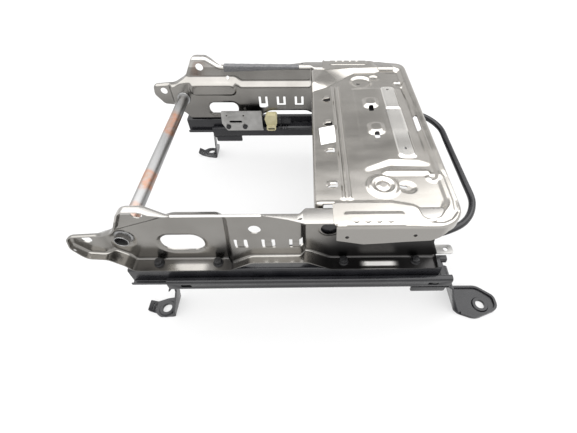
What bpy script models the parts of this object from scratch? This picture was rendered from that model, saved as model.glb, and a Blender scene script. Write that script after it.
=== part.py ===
"""Car seat cushion frame on two slide rails.

The seat faces +X, its left side is +Y and Z is up. The origin is on the ground, under the middle
of the frame. Sizes are in metres. A "depth" is a distance from the middle plane of the seat, so
that one function makes the left piece (side 1) and the right piece (side -1).
"""

import math

import bmesh
import bpy

# Overall
RIGHT, LEFT = -1, 1
SIDES = {RIGHT: "right", LEFT: "left"}
SEAT_GAP = 0.0003          # between pieces that touch
TRACK_DEPTH = 0.210        # middle of each rail, from the middle of the seat
RAIL_BOTTOM = 0.083        # underside of the lower rail above the ground

# Slide rails
RAIL_SHEET = 0.002
LOWER_HALF = 0.025
LOWER_HEIGHT = 0.024
LOWER_REAR, LOWER_FRONT = -0.227, 0.236
LIP_HALF = 0.014           # half the mouth between the two lips
LIP_DROP = 0.010
UPPER_HALF = 0.012
UPPER_HEIGHT = 0.040       # from the lower rail's underside to the upper rail's top
UPPER_REAR, UPPER_FRONT = -0.286, 0.216
BALL_GAP = 0.006           # between the lower rail's floor and the upper rail's foot
LIFT_GAP = 0.007           # between the upper rail's turned-up edge and the lip above it
HOOK_HALF = 0.0205         # half width of the upper rail's foot
NOTCH_PITCH = 0.020
NOTCH_LENGTH = 0.010
NOTCH_COUNT = 13
NOTCH_FIRST = -0.115

# Balls between the rails
TOP_BALL = 0.0064
LOW_BALL = 0.0054
BALL_PLACES = (-0.180, 0.140)
CAGE_SHEET = 0.0012
CAGE_MARGIN = 0.006

# Side members
SHEET = 0.002
WEB_INSET = 0.0116         # from the rail's middle in to the web's inner face
RAISE = 0.010              # how far the ear and the middle of the web stand further out
FLANGE_WIDTH = 0.0311      # top flange under the pan, from the web's inner face
REAR_FLANGE_WIDTH = 0.0256
EDGE_FLANGE_WIDTH = 0.0161 # top flange along the cushion
FRONT_FLANGE_WIDTH = 0.0176
TOP_LEVEL = 0.2447
HORN_RISE = 0.0188         # of the rear upper corner, above the top flange
TUBE_X, TUBE_Z = -0.277, 0.178
EAR_HOLES = ((-0.321, 0.190, 0.0075), (-0.229, 0.244, 0.008))
SLOT_X = -0.192
SLOT_LENGTH = 0.067
SLOT_LEVEL = {RIGHT: 0.164, LEFT: 0.151}
SLOT_HEIGHT = {RIGHT: 0.038, LEFT: 0.029}
HOOK_PITCH = 0.041
HOOK_MIDDLE = -0.058
HOOK_LEVEL = {RIGHT: 0.176, LEFT: 0.168}
HOOK_SIZE = {RIGHT: 0.020, LEFT: 0.026}
STRAP_RISE = 0.003
BOLT_PLACES = (-0.237, -0.143, 0.058, 0.174)
BOLT_RADIUS = 0.004
BOLT_CLEARANCE = 0.0004
ARCH_REAR, ARCH_FRONT, ARCH_RISE = -0.122, 0.036, 0.020

# Cross tube
TUBE_RADIUS = 0.011
TUBE_WALL = 0.0016
TUBE_CLEARANCE = 0.0004
TUBE_OVERHANG = 0.0146     # past the web's inner face
COLLAR_RADIUS = 0.0145
COLLAR_LENGTH = 0.004

# Cushion pan
PAN_SHEET = 0.0015
PAN_REAR, PAN_FRONT = 0.010, 0.212
PAN_MIDDLE_GAP = 0.0024    # between the pan's rear middle and the web
PAN_OVERHANG = 0.006       # past the members' top flanges
WING_REAR = 0.035
FLOOR_DROP = 0.007
CORNER = 0.038
SKIRT_DEPTH = 0.0405

# Release handle and latches
BAR_RADIUS = 0.006
BAR_X, BAR_Z = 0.289, 0.157
LEVER_SHEET = 0.004
LEVER_INSET = 0.009        # from the latch's axis in to the lever
ARM_OUTSET = 0.003         # from the lever out to the bar
HANDLE_PIVOT_X, HANDLE_PIVOT_Z = 0.070, 0.124
PIVOT_RADIUS = 0.004
PIVOT_CLEARANCE = 0.0003
FINGER_X = 0.040
FINGER_PLAY = 0.002        # between the finger and the latch's tail
LATCH_INSET = 0.036        # from the rail's middle in to the latch's axis
LATCH_Z = 0.116
LATCH_PIN_RADIUS = 0.0025
LATCH_REAR, LATCH_FRONT = -0.055, 0.047
TOOTH_PLACES = (-0.035, -0.015, 0.005, 0.025)
BRACKET_SHEET = 0.002

# Harness bracket
HARNESS_GAP = 0.0136       # between the plate and the upper rail
HARNESS_SHEET = 0.0015
HARNESS_RIVETS = (-0.186, -0.147)
HARNESS_RIVET_Z = 0.1125

# Floor feet
FOOT_SHEET = 0.003
FOOT_OUTSET = 0.018        # from the rail's middle out to the floor bolt
FOOT_REAR_HOLE = -0.258
FOOT_FRONT_HOLE = 0.319
RIVETS_REAR = (-0.212, -0.172)
RIVETS_FRONT = (0.186, 0.222)
RIVET_RADIUS = 0.004

LIP_TOP = RAIL_BOTTOM + LOWER_HEIGHT
RAIL_TOP = RAIL_BOTTOM + UPPER_HEIGHT
FLANGE_BOTTOM = RAIL_TOP + SEAT_GAP
WEB_DEPTH = TRACK_DEPTH - WEB_INSET
FLANGE_DEPTH = WEB_DEPTH + FLANGE_WIDTH
REAR_FLANGE_DEPTH = WEB_DEPTH + REAR_FLANGE_WIDTH
EDGE_FLANGE_DEPTH = WEB_DEPTH + EDGE_FLANGE_WIDTH
FRONT_FLANGE_DEPTH = WEB_DEPTH + FRONT_FLANGE_WIDTH
TUBE_END = WEB_DEPTH + TUBE_OVERHANG
PAN_MIDDLE_HALF = WEB_DEPTH - PAN_MIDDLE_GAP
PAN_HALF = FLANGE_DEPTH + PAN_OVERHANG
PAN_UNDERSIDE = TOP_LEVEL + SEAT_GAP
PAN_TOP = PAN_UNDERSIDE + PAN_SHEET
FLOOR_TOP = PAN_TOP - FLOOR_DROP
BRACKET_DEPTH = TRACK_DEPTH - UPPER_HALF - SEAT_GAP
LATCH_DEPTH = TRACK_DEPTH - LATCH_INSET
LEVER_DEPTH = LATCH_DEPTH - LEVER_INSET
ARM_DEPTH = LEVER_DEPTH + ARM_OUTSET
TOOTH_DEPTH = TRACK_DEPTH - (LIP_HALF + LOWER_HALF) / 2
HARNESS_DEPTH = (BRACKET_DEPTH - HARNESS_GAP - HARNESS_SHEET, BRACKET_DEPTH - HARNESS_GAP)
FOOT_DEPTH = TRACK_DEPTH + FOOT_OUTSET


# Scene, materials and Booleans

for stale in list(bpy.data.objects):
    bpy.data.objects.remove(stale)
frame = bpy.data.collections.new("Seat frame")
bpy.context.scene.collection.children.link(frame)


def material(name, colour, roughness, metallic):
    made = bpy.data.materials.new(name)
    made.use_nodes = True
    shader = made.node_tree.nodes["Principled BSDF"]
    shader.inputs["Base Color"].default_value = (*colour, 1)
    shader.inputs["Roughness"].default_value = roughness
    shader.inputs["Metallic"].default_value = metallic
    return made


BARE_STEEL = material("bare_steel", (0.46, 0.45, 0.43), 0.38, 1.0)
PAN_STEEL = material("pan_steel", (0.62, 0.61, 0.59), 0.32, 1.0)
TUBE_STEEL = material("tube_steel", (0.40, 0.39, 0.38), 0.35, 1.0)
BLACK_COAT = material("black_coat", (0.015, 0.015, 0.017), 0.35, 0.0)
ZINC = material("zinc", (0.60, 0.60, 0.58), 0.3, 1.0)
BLACK_BOLT = material("black_bolt", (0.012, 0.012, 0.013), 0.45, 0.6)
FOAM = material("foam", (0.075, 0.075, 0.08), 0.9, 0.0)
CREAM_PLASTIC = material("cream_plastic", (0.55, 0.50, 0.30), 0.5, 0.0)
CAGE_STEEL = material("cage_steel", (0.35, 0.35, 0.36), 0.3, 1.0)
SPRING_STEEL = material("spring_steel", (0.2, 0.2, 0.21), 0.3, 1.0)


def put(name, mesh, surface=None):
    made = bpy.data.objects.new(name, mesh)
    frame.objects.link(made)
    if surface:
        mesh.materials.clear()
        mesh.materials.append(surface)
    return made


def evaluated_mesh(thing):
    bpy.context.view_layer.update()
    graph = bpy.context.evaluated_depsgraph_get()
    return bpy.data.meshes.new_from_object(thing.evaluated_get(graph))


def combine(target, other, operation):
    """Replaces the target's mesh by its Boolean with the other object, which is used up."""
    modifier = target.modifiers.new(operation.lower(), "BOOLEAN")
    modifier.operation = operation
    modifier.object = other
    mesh = evaluated_mesh(target)
    target.modifiers.clear()
    target.data = mesh
    bpy.data.objects.remove(other)
    return target


def join(target, *others):
    for other in others:
        combine(target, other, "UNION")
    return target


def cut(target, *others):
    for other in others:
        combine(target, other, "DIFFERENCE")
    return target


def trim(target, other):
    return combine(target, other, "INTERSECT")


def finish(thing, name, surface):
    """Names the piece, dissolves the flat edges that the Booleans left and shades it."""
    shape = bmesh.new()
    shape.from_mesh(thing.data)
    bmesh.ops.remove_doubles(shape, verts=shape.verts, dist=0.000002)
    bmesh.ops.dissolve_limit(shape, angle_limit=math.radians(0.5), verts=shape.verts, edges=shape.edges)
    bmesh.ops.triangulate(shape, faces=[face for face in shape.faces if len(face.verts) > 4])
    shape.to_mesh(thing.data)
    shape.free()
    thing.name = name
    thing.data.name = name
    thing.data.materials.clear()
    thing.data.materials.append(surface)
    thing.data.shade_smooth()
    thing.data.set_sharp_from_angle(angle=math.radians(30))
    return thing


# Outlines

def rounded(corners, steps=3):
    """The corners (x, y, radius) of a polygon, with an arc at each corner that has a radius."""
    points = []
    for index, (x, y, radius) in enumerate(corners):
        before = corners[index - 1]
        after = corners[(index + 1) % len(corners)]
        if radius == 0:
            points.append((x, y))
            continue
        back = (before[0] - x, before[1] - y)
        ahead = (after[0] - x, after[1] - y)
        back_length, ahead_length = math.hypot(*back), math.hypot(*ahead)
        cosine = (back[0] * ahead[0] + back[1] * ahead[1]) / (back_length * ahead_length)
        half = math.acos(max(-1, min(1, cosine))) / 2
        reach = min(radius / math.tan(half), 0.49 * back_length, 0.49 * ahead_length)
        start = (x + back[0] / back_length * reach, y + back[1] / back_length * reach)
        end = (x + ahead[0] / ahead_length * reach, y + ahead[1] / ahead_length * reach)
        to_middle = reach / math.cos(half) ** 2
        middle_of_ends = ((start[0] + end[0]) / 2, (start[1] + end[1]) / 2)
        along = (middle_of_ends[0] - x, middle_of_ends[1] - y)
        scale = to_middle / (reach * math.cos(half)) * math.cos(half)
        centre = (x + along[0] * scale, y + along[1] * scale)
        first = math.atan2(start[1] - centre[1], start[0] - centre[0])
        turn = math.atan2(end[1] - centre[1], end[0] - centre[0]) - first
        turn = (turn + math.pi) % (2 * math.pi) - math.pi
        arc = math.hypot(start[0] - centre[0], start[1] - centre[1])
        for step in range(steps + 1):
            angle = first + turn * step / steps
            points.append((centre[0] + arc * math.cos(angle), centre[1] + arc * math.sin(angle)))
    return points


def rectangle(x, y, length, width, radius=0.0, steps=3):
    half_length, half_width = length / 2, width / 2
    signs = ((-1, -1), (1, -1), (1, 1), (-1, 1))
    return rounded([(x + a * half_length, y + b * half_width, radius) for a, b in signs], steps)


def circle(x, y, radius, sides=16):
    turn = 2 * math.pi / sides
    return [(x + radius * math.cos(turn * (i + 0.5)), y + radius * math.sin(turn * (i + 0.5)))
            for i in range(sides)]


def shrunk(points, distance):
    """A counter-clockwise outline with every edge moved inwards by the distance."""
    moved = []
    for index, (x, y) in enumerate(points):
        before = points[index - 1]
        after = points[(index + 1) % len(points)]
        first = (x - before[0], y - before[1])
        second = (after[0] - x, after[1] - y)
        first_length, second_length = math.hypot(*first), math.hypot(*second)
        normal = (-first[1] / first_length - second[1] / second_length,
                  first[0] / first_length + second[0] / second_length)
        size = normal[0] ** 2 + normal[1] ** 2
        moved.append((x + 2 * distance * normal[0] / size, y + 2 * distance * normal[1] / size))
    return moved


def mirrored_section(points, side):
    """The section for one side, from (depth, z) points."""
    flipped = [(side * depth, z) for depth, z in points]
    return flipped if side > 0 else flipped[::-1]


def mirrored(points, side):
    """The outline for one side, from (x, depth) points, still counter-clockwise."""
    flipped = [(x, side * depth) for x, depth in points]
    return flipped if side > 0 else flipped[::-1]


# Solids

AXES = {
    "X": lambda a, b, level: (level, a, b),
    "Y": lambda a, b, level: (a, level, b),
    "Z": lambda a, b, level: (a, b, level),
}


def plate(outline, axis, low, high):
    """A flat outline given a thickness along X, Y or Z."""
    curve = bpy.data.curves.new("outline", "CURVE")
    curve.dimensions = "2D"
    curve.fill_mode = "BOTH"
    curve.extrude = abs(high - low) / 2
    spline = curve.splines.new("POLY")
    spline.points.add(len(outline) - 1)
    for point, (a, b) in zip(spline.points, outline):
        point.co = (a, b, 0, 1)
    spline.use_cyclic_u = True
    drawn = bpy.data.objects.new("outline", curve)
    frame.objects.link(drawn)
    mesh = evaluated_mesh(drawn)
    bpy.data.objects.remove(drawn)
    shape = bmesh.new()
    shape.from_mesh(mesh)
    middle = (low + high) / 2
    for vertex in shape.verts:
        a, b, c = vertex.co
        vertex.co = AXES[axis](a, b, middle + c)
    bmesh.ops.remove_doubles(shape, verts=shape.verts, dist=0.000001)
    bmesh.ops.dissolve_limit(shape, angle_limit=0.001, verts=shape.verts, edges=shape.edges)
    bmesh.ops.recalc_face_normals(shape, faces=shape.faces)
    shape.to_mesh(mesh)
    shape.free()
    return put("plate", mesh)


def side_plate(outline, side, low, high):
    """A plate whose faces lie at two depths on one side of the seat."""
    return plate(outline, "Y", *sorted((side * low, side * high)))


def loft(first, first_level, second, second_level, axis):
    """A solid between two outlines with the same number of points, at two levels."""
    shape = bmesh.new()
    rings = []
    for outline, level in ((first, first_level), (second, second_level)):
        ring = [shape.verts.new(AXES[axis](a, b, level)) for a, b in outline]
        rings.append([shape.edges.new((ring[i - 1], ring[i])) for i in range(len(ring))])
    bmesh.ops.contextual_create(shape, geom=rings[0])
    bmesh.ops.contextual_create(shape, geom=rings[1])
    bmesh.ops.bridge_loops(shape, edges=rings[0] + rings[1])
    bmesh.ops.recalc_face_normals(shape, faces=shape.faces)
    if shape.calc_volume(signed=True) < 0:
        bmesh.ops.reverse_faces(shape, faces=shape.faces)
    mesh = bpy.data.meshes.new("loft")
    shape.to_mesh(mesh)
    shape.free()
    return put("loft", mesh)


def rod(axis, centre, radius, low, high, sides=16, end_radius=None):
    """A round rod, or a cone, along an axis. The centre is given across it."""
    first = circle(*centre, radius, sides)
    second = circle(*centre, radius if end_radius is None else end_radius, sides)
    return loft(first, low, second, high, axis)


def side_rod(side, x, z, radius, low, high, sides=10):
    return rod("Y", (x, z), radius, *sorted((side * low, side * high)), sides)


def block(low, high):
    outline = [(low[0], low[1]), (high[0], low[1]), (high[0], high[1]), (low[0], high[1])]
    return plate(outline, "Z", low[2], high[2])


def side_block(side, x, depth, z):
    """A block from ranges of x, depth and z."""
    low, high = sorted((side * depth[0], side * depth[1]))
    return block((x[0], low, z[0]), (x[1], high, z[1]))


def ball(x, y, z, radius):
    shape = bmesh.new()
    bmesh.ops.create_uvsphere(shape, u_segments=6, v_segments=3, radius=radius)
    bmesh.ops.translate(shape, vec=(x, y, z), verts=shape.verts)
    mesh = bpy.data.meshes.new("ball")
    shape.to_mesh(mesh)
    shape.free()
    return put("ball", mesh)


def tube(points, radius, resolution=3):
    """A round bar through points, as a mesh with closed ends."""
    curve = bpy.data.curves.new("bar", "CURVE")
    curve.dimensions = "3D"
    curve.bevel_depth = radius
    curve.bevel_resolution = resolution
    curve.use_fill_caps = True
    spline = curve.splines.new("POLY")
    spline.points.add(len(points) - 1)
    for point, place in zip(spline.points, points):
        point.co = (*place, 1)
    drawn = bpy.data.objects.new("bar", curve)
    frame.objects.link(drawn)
    mesh = evaluated_mesh(drawn)
    bpy.data.objects.remove(drawn)
    shape = bmesh.new()
    shape.from_mesh(mesh)
    bmesh.ops.remove_doubles(shape, verts=shape.verts, dist=0.000001)
    bmesh.ops.recalc_face_normals(shape, faces=shape.faces)
    shape.to_mesh(mesh)
    shape.free()
    return put("bar", mesh)


# Slide rails

def rail_profile(half_points, side):
    """A closed section (y, z) from the points of its half at larger depth, symmetrical about the rail."""
    other = [(-across, level) for across, level in reversed(half_points)]
    return [(side * TRACK_DEPTH + across, level) for across, level in half_points + other]


def lower_rail(side):
    wall = LOWER_HALF - RAIL_SHEET
    lip = LIP_HALF + RAIL_SHEET
    half = [
        (0.0, RAIL_BOTTOM),
        (LOWER_HALF, RAIL_BOTTOM),
        (LOWER_HALF, LIP_TOP),
        (LIP_HALF, LIP_TOP),
        (LIP_HALF, LIP_TOP - LIP_DROP),
        (lip, LIP_TOP - LIP_DROP),
        (lip, LIP_TOP - RAIL_SHEET),
        (wall, LIP_TOP - RAIL_SHEET),
        (wall, RAIL_BOTTOM + RAIL_SHEET),
    ]
    rail = plate(rail_profile(half, side)[1:], "X", LOWER_REAR, LOWER_FRONT)
    for place in RIVETS_REAR + RIVETS_FRONT:
        hole = rod("Z", (place, side * TRACK_DEPTH), RIVET_RADIUS + SEAT_GAP, 0, LIP_TOP, 6)
        cut(rail, hole)
    notch_depth = TRACK_DEPTH - (lip + wall) / 2
    for index in range(NOTCH_COUNT):
        x = NOTCH_FIRST + NOTCH_PITCH * index
        cut(rail, side_block(side, (x - NOTCH_LENGTH / 2, x + NOTCH_LENGTH / 2),
                             (notch_depth - 0.0025, notch_depth + 0.0025), (LIP_TOP - 0.004, LIP_TOP + 0.01)))
    for x, length in ((LOWER_REAR + 0.030, 0.017), (LOWER_FRONT - 0.030, 0.017)):
        window = rectangle(x, RAIL_BOTTOM + 0.012, length, 0.007, 0.002, 1)
        cut(rail, side_plate(window, side, TRACK_DEPTH + wall - 0.001, TRACK_DEPTH + LOWER_HALF + 0.01))
    return finish(rail, f"lower_rail_{SIDES[side]}", BLACK_COAT)


def upper_rail(side):
    foot = RAIL_BOTTOM + RAIL_SHEET + BALL_GAP
    hook_top = LIP_TOP - RAIL_SHEET - LIFT_GAP
    half = [
        (0.0, RAIL_TOP - RAIL_SHEET),
        (UPPER_HALF - RAIL_SHEET, RAIL_TOP - RAIL_SHEET),
        (UPPER_HALF - RAIL_SHEET, foot),
        (HOOK_HALF, foot),
        (HOOK_HALF, hook_top),
        (HOOK_HALF - RAIL_SHEET, hook_top),
        (HOOK_HALF - RAIL_SHEET, foot + RAIL_SHEET),
        (UPPER_HALF, foot + RAIL_SHEET),
        (UPPER_HALF, RAIL_TOP),
    ]
    rail = plate(rail_profile(half, side)[1:-1], "X", UPPER_REAR, UPPER_FRONT)
    for place in BOLT_PLACES:
        centre = (place, side * TRACK_DEPTH)
        join(rail, rod("Z", centre, 0.0072, RAIL_TOP - 0.0085, RAIL_TOP - RAIL_SHEET / 2, 6))
        cut(rail, rod("Z", centre, BOLT_RADIUS + BOLT_CLEARANCE, RAIL_TOP - 0.02, RAIL_TOP + 0.01, 8))
    return finish(rail, f"upper_rail_{SIDES[side]}", BLACK_COAT)


def ball_cage(side, inner):
    """A strip beside the upper rail's hook, which holds the balls of one edge of the rail."""
    towards = -1 if inner else 1
    wall = LOWER_HALF - RAIL_SHEET
    floor = RAIL_BOTTOM + RAIL_SHEET
    leg = (HOOK_HALF + wall) / 2
    strip_low = floor + 0.0024
    low_across = HOOK_HALF - 0.0035
    top_across = (LIP_HALF + RAIL_SHEET + wall) / 2
    top_level = LIP_TOP - RAIL_SHEET - LIFT_GAP / 2
    low_level = floor + BALL_GAP / 2
    x = (BALL_PLACES[0] - CAGE_MARGIN, BALL_PLACES[1] + CAGE_MARGIN)

    def depths(low, high):
        return tuple(sorted(TRACK_DEPTH + towards * across for across in (low, high)))

    cage = side_block(side, x, depths(leg - CAGE_SHEET / 2, leg + CAGE_SHEET / 2), (strip_low, top_level))
    join(cage, side_block(side, x, depths(low_across, leg), (strip_low, strip_low + CAGE_SHEET)))
    for place in BALL_PLACES:
        join(cage, ball(place, side * (TRACK_DEPTH + towards * top_across), top_level, TOP_BALL / 2))
        join(cage, ball(place, side * (TRACK_DEPTH + towards * low_across), low_level, LOW_BALL / 2))
    where = "inner" if inner else "outer"
    return finish(cage, f"ball_cage_{SIDES[side]}_{where}", CAGE_STEEL)


# Side members

MEMBER_OUTLINE = (
    (-0.275, FLANGE_BOTTOM, 0.004),
    (ARCH_REAR, FLANGE_BOTTOM, 0.014),
    (ARCH_REAR + 0.036, FLANGE_BOTTOM + ARCH_RISE, 0.016),
    (ARCH_FRONT - 0.036, FLANGE_BOTTOM + ARCH_RISE, 0.016),
    (ARCH_FRONT, FLANGE_BOTTOM, 0.014),
    (0.214, FLANGE_BOTTOM, 0.005),
    (0.197, 0.162, 0.016),
    (0.191, TOP_LEVEL, 0.006),
    (-0.187, TOP_LEVEL, 0.020),
    (-0.214, TOP_LEVEL + HORN_RISE, 0.015),
    (-0.243, TOP_LEVEL + HORN_RISE, 0.014),
    (-0.266, 0.221, 0.030),
    (-0.293, 0.207, 0.030),
    (-0.343, 0.2035, 0.013),
    (-0.347, 0.180, 0.012),
    (-0.330, 0.156, 0.010),
    (-0.303, 0.153, 0.018),
    (-0.283, 0.137, 0.016),
)


def raise_zone(member, outline, side, slope, height=RAISE):
    """Presses a zone of the web outwards: its face moves by the height, over sloping walls."""
    outer = WEB_DEPTH + SHEET
    added = loft(outline, side * (outer - 0.001), shrunk(outline, slope), side * (outer + height), "Y")
    trim(added, side_plate(rounded(MEMBER_OUTLINE, 2), side, WEB_DEPTH, FLANGE_DEPTH))
    join(member, added)
    removed = shrunk(outline, SHEET)
    cut(member, loft(removed, side * (WEB_DEPTH - 0.001), shrunk(removed, slope),
                     side * (WEB_DEPTH + height), "Y"))
    return member


def side_member(side):
    outline = rounded(MEMBER_OUTLINE, 2)
    member = side_plate(outline, side, WEB_DEPTH, FLANGE_DEPTH)
    cut(member, side_plate(shrunk(outline, SHEET), side, WEB_DEPTH + SHEET, FLANGE_DEPTH + 0.01))

    # The flange is narrow along the cushion's edge and wide under the pan.
    clear = FLANGE_DEPTH + 0.03
    widening = (EDGE_FLANGE_DEPTH + FLANGE_DEPTH) / 2
    edge = (
        (-0.40, REAR_FLANGE_DEPTH), (-0.205, REAR_FLANGE_DEPTH), (-0.182, EDGE_FLANGE_DEPTH),
        (-0.062, EDGE_FLANGE_DEPTH), (-0.026, widening), (-0.002, FLANGE_DEPTH), (0.160, FLANGE_DEPTH),
        (0.200, FRONT_FLANGE_DEPTH), (0.30, FRONT_FLANGE_DEPTH), (0.30, clear), (-0.40, clear),
    )
    upper_half = TOP_LEVEL - 0.0397
    cut(member, plate(mirrored(edge, side), "Z", upper_half, TOP_LEVEL + 0.05))
    cut(member, side_block(side, (-0.4, 0.3), (REAR_FLANGE_DEPTH, clear), (0.1, upper_half)))
    front = ((0.150, FLANGE_BOTTOM + SHEET), (0.26, FLANGE_BOTTOM + SHEET), (0.26, TOP_LEVEL - SHEET),
             (0.150, TOP_LEVEL - SHEET))
    cut(member, side_plate(front, side, WEB_DEPTH + SHEET, clear))

    if side == RIGHT:
        # The ear, a strip under the top flange and the middle stand out round the recess of the slot.
        ear = ((-0.42, 0.09), (-0.297, 0.09), (-0.297, 0.194), (-0.272, 0.202), (-0.213, 0.222),
               (-0.185, 0.232), (-0.121, 0.232), (-0.133, 0.09), (-0.001, 0.09), (0.003, 0.33), (-0.42, 0.33))
        raise_zone(member, ear, side, 0.008)
    else:
        ear = ((-0.42, 0.09), (-0.299, 0.09), (-0.299, 0.205), (-0.288, 0.214), (-0.162, 0.214),
               (-0.148, 0.204), (0.006, 0.204), (0.018, 0.214), (0.018, 0.33), (-0.42, 0.33))
        raise_zone(member, ear, side, 0.009)
        bead = rectangle(-0.207, 0.1975, 0.106, 0.027, 0.012)
        join(member, loft(bead, side * (WEB_DEPTH + 0.0005), shrunk(bead, 0.005),
                          side * (WEB_DEPTH - 0.006), "Y"))
        hollow = shrunk(bead, SHEET)
        cut(member, loft(hollow, side * (WEB_DEPTH + SHEET + 0.001), shrunk(hollow, 0.005),
                         side * (WEB_DEPTH - 0.004), "Y"))

    # Openings in the web
    deep = (WEB_DEPTH - 0.02, FLANGE_DEPTH + 0.01)
    for x, z, radius in EAR_HOLES:
        cut(member, side_rod(side, x, z, radius, *deep))
    cut(member, side_rod(side, TUBE_X, TUBE_Z, TUBE_RADIUS + TUBE_CLEARANCE, *deep, 14))
    height = SLOT_HEIGHT[side]
    slot = rectangle(SLOT_X, SLOT_LEVEL[side], SLOT_LENGTH, height, height / 2 - 0.0005, 3)
    cut(member, side_plate(slot, side, *deep))
    cut(member, side_rod(side, 0.033, 0.199, 0.013, *deep))
    for step in (-1, 0, 1):
        x = HOOK_MIDDLE + HOOK_PITCH * step
        for shift in (-0.0075, 0.0075):
            leg = rectangle(x + shift, HOOK_LEVEL[side], 0.005, HOOK_SIZE[side])
            cut(member, side_plate(leg, side, *deep))
        if side == LEFT:
            foot = rectangle(x, HOOK_LEVEL[side] - HOOK_SIZE[side] / 2 + 0.0035, 0.012, 0.007)
            cut(member, side_plate(foot, side, *deep))
        else:
            face = WEB_DEPTH + RAISE + SHEET
            strap = rectangle(x, HOOK_LEVEL[side], 0.010, 0.012)
            raised = shrunk(strap, 0.002)
            join(member, loft(strap, side * (face - 0.0005), raised, side * (face + STRAP_RISE), "Y"))
    if side == RIGHT:
        cut(member, side_rod(side, -0.075, 0.209, 0.009, *deep))
    else:
        cut(member, side_rod(side, -0.172, 0.222, 0.003, *deep, 8))

    # Holes in the flanges
    for place in BOLT_PLACES:
        centre = (place, side * TRACK_DEPTH)
        cut(member, rod("Z", centre, BOLT_RADIUS + BOLT_CLEARANCE, 0.11, FLANGE_BOTTOM + 0.006, 8))
    centre = (-0.009, side * (WEB_DEPTH + 0.0196))
    cut(member, rod("Z", centre, 0.003, TOP_LEVEL - 0.006, TOP_LEVEL + 0.01, 8))
    return finish(member, f"side_member_{SIDES[side]}", BARE_STEEL)


def frame_bolt(side, number, x):
    """A flanged hexagon bolt, screwed into the rail's weld nut."""
    centre = (x, side * TRACK_DEPTH)
    seat = FLANGE_BOTTOM + SHEET + SEAT_GAP
    bolt = rod("Z", centre, 0.0082, seat, seat + 0.002, 8)
    join(bolt, rod("Z", centre, 0.0062, seat + 0.001, seat + 0.0075, 6))
    join(bolt, rod("Z", centre, BOLT_RADIUS, RAIL_TOP - 0.013, seat + 0.001, 6))
    return finish(bolt, f"frame_bolt_{SIDES[side]}_{number}", BLACK_BOLT)


# Cross tube

def cross_tube():
    centre = (TUBE_X, TUBE_Z)
    bar = rod("Y", centre, TUBE_RADIUS, -TUBE_END, TUBE_END, 14)
    for side in SIDES:
        end = WEB_DEPTH - SEAT_GAP
        join(bar, side_rod(side, TUBE_X, TUBE_Z, COLLAR_RADIUS, end - COLLAR_LENGTH, end, 14))
    cut(bar, rod("Y", centre, TUBE_RADIUS - TUBE_WALL, -TUBE_END - 0.01, TUBE_END + 0.01, 14))
    return finish(bar, "cross_tube", TUBE_STEEL)


# Cushion pan

PAN_OUTLINE = (
    (PAN_REAR, -PAN_MIDDLE_HALF, 0.006),
    (WING_REAR, -PAN_MIDDLE_HALF, 0.0),
    (WING_REAR, -PAN_HALF, 0.003),
    (PAN_FRONT, -PAN_HALF, CORNER),
    (PAN_FRONT, PAN_HALF, CORNER),
    (WING_REAR, PAN_HALF, 0.003),
    (WING_REAR, PAN_MIDDLE_HALF, 0.0),
    (PAN_REAR, PAN_MIDDLE_HALF, 0.006),
)


def press(pan, outline, level, rise, slope):
    """Presses a zone of the pan up or down by the rise, from a sheet whose top is at the level."""
    inner = shrunk(outline, slope)
    if rise > 0:
        join(pan, loft(outline, level - PAN_SHEET / 2, inner, level + rise, "Z"))
        low = shrunk(outline, PAN_SHEET)
        cut(pan, loft(low, level - PAN_SHEET - 0.0005, shrunk(low, slope), level + rise - PAN_SHEET, "Z"))
        return pan
    grown = shrunk(outline, -PAN_SHEET)
    added = loft(grown, level - PAN_SHEET / 2, shrunk(grown, slope), level + rise - PAN_SHEET, "Z")
    trim(added, plate(rounded(PAN_OUTLINE, 5), "Z", PAN_TOP - SKIRT_DEPTH, PAN_TOP))
    join(pan, added)
    return cut(pan, loft(outline, level + 0.0005, inner, level + rise, "Z"))


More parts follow.
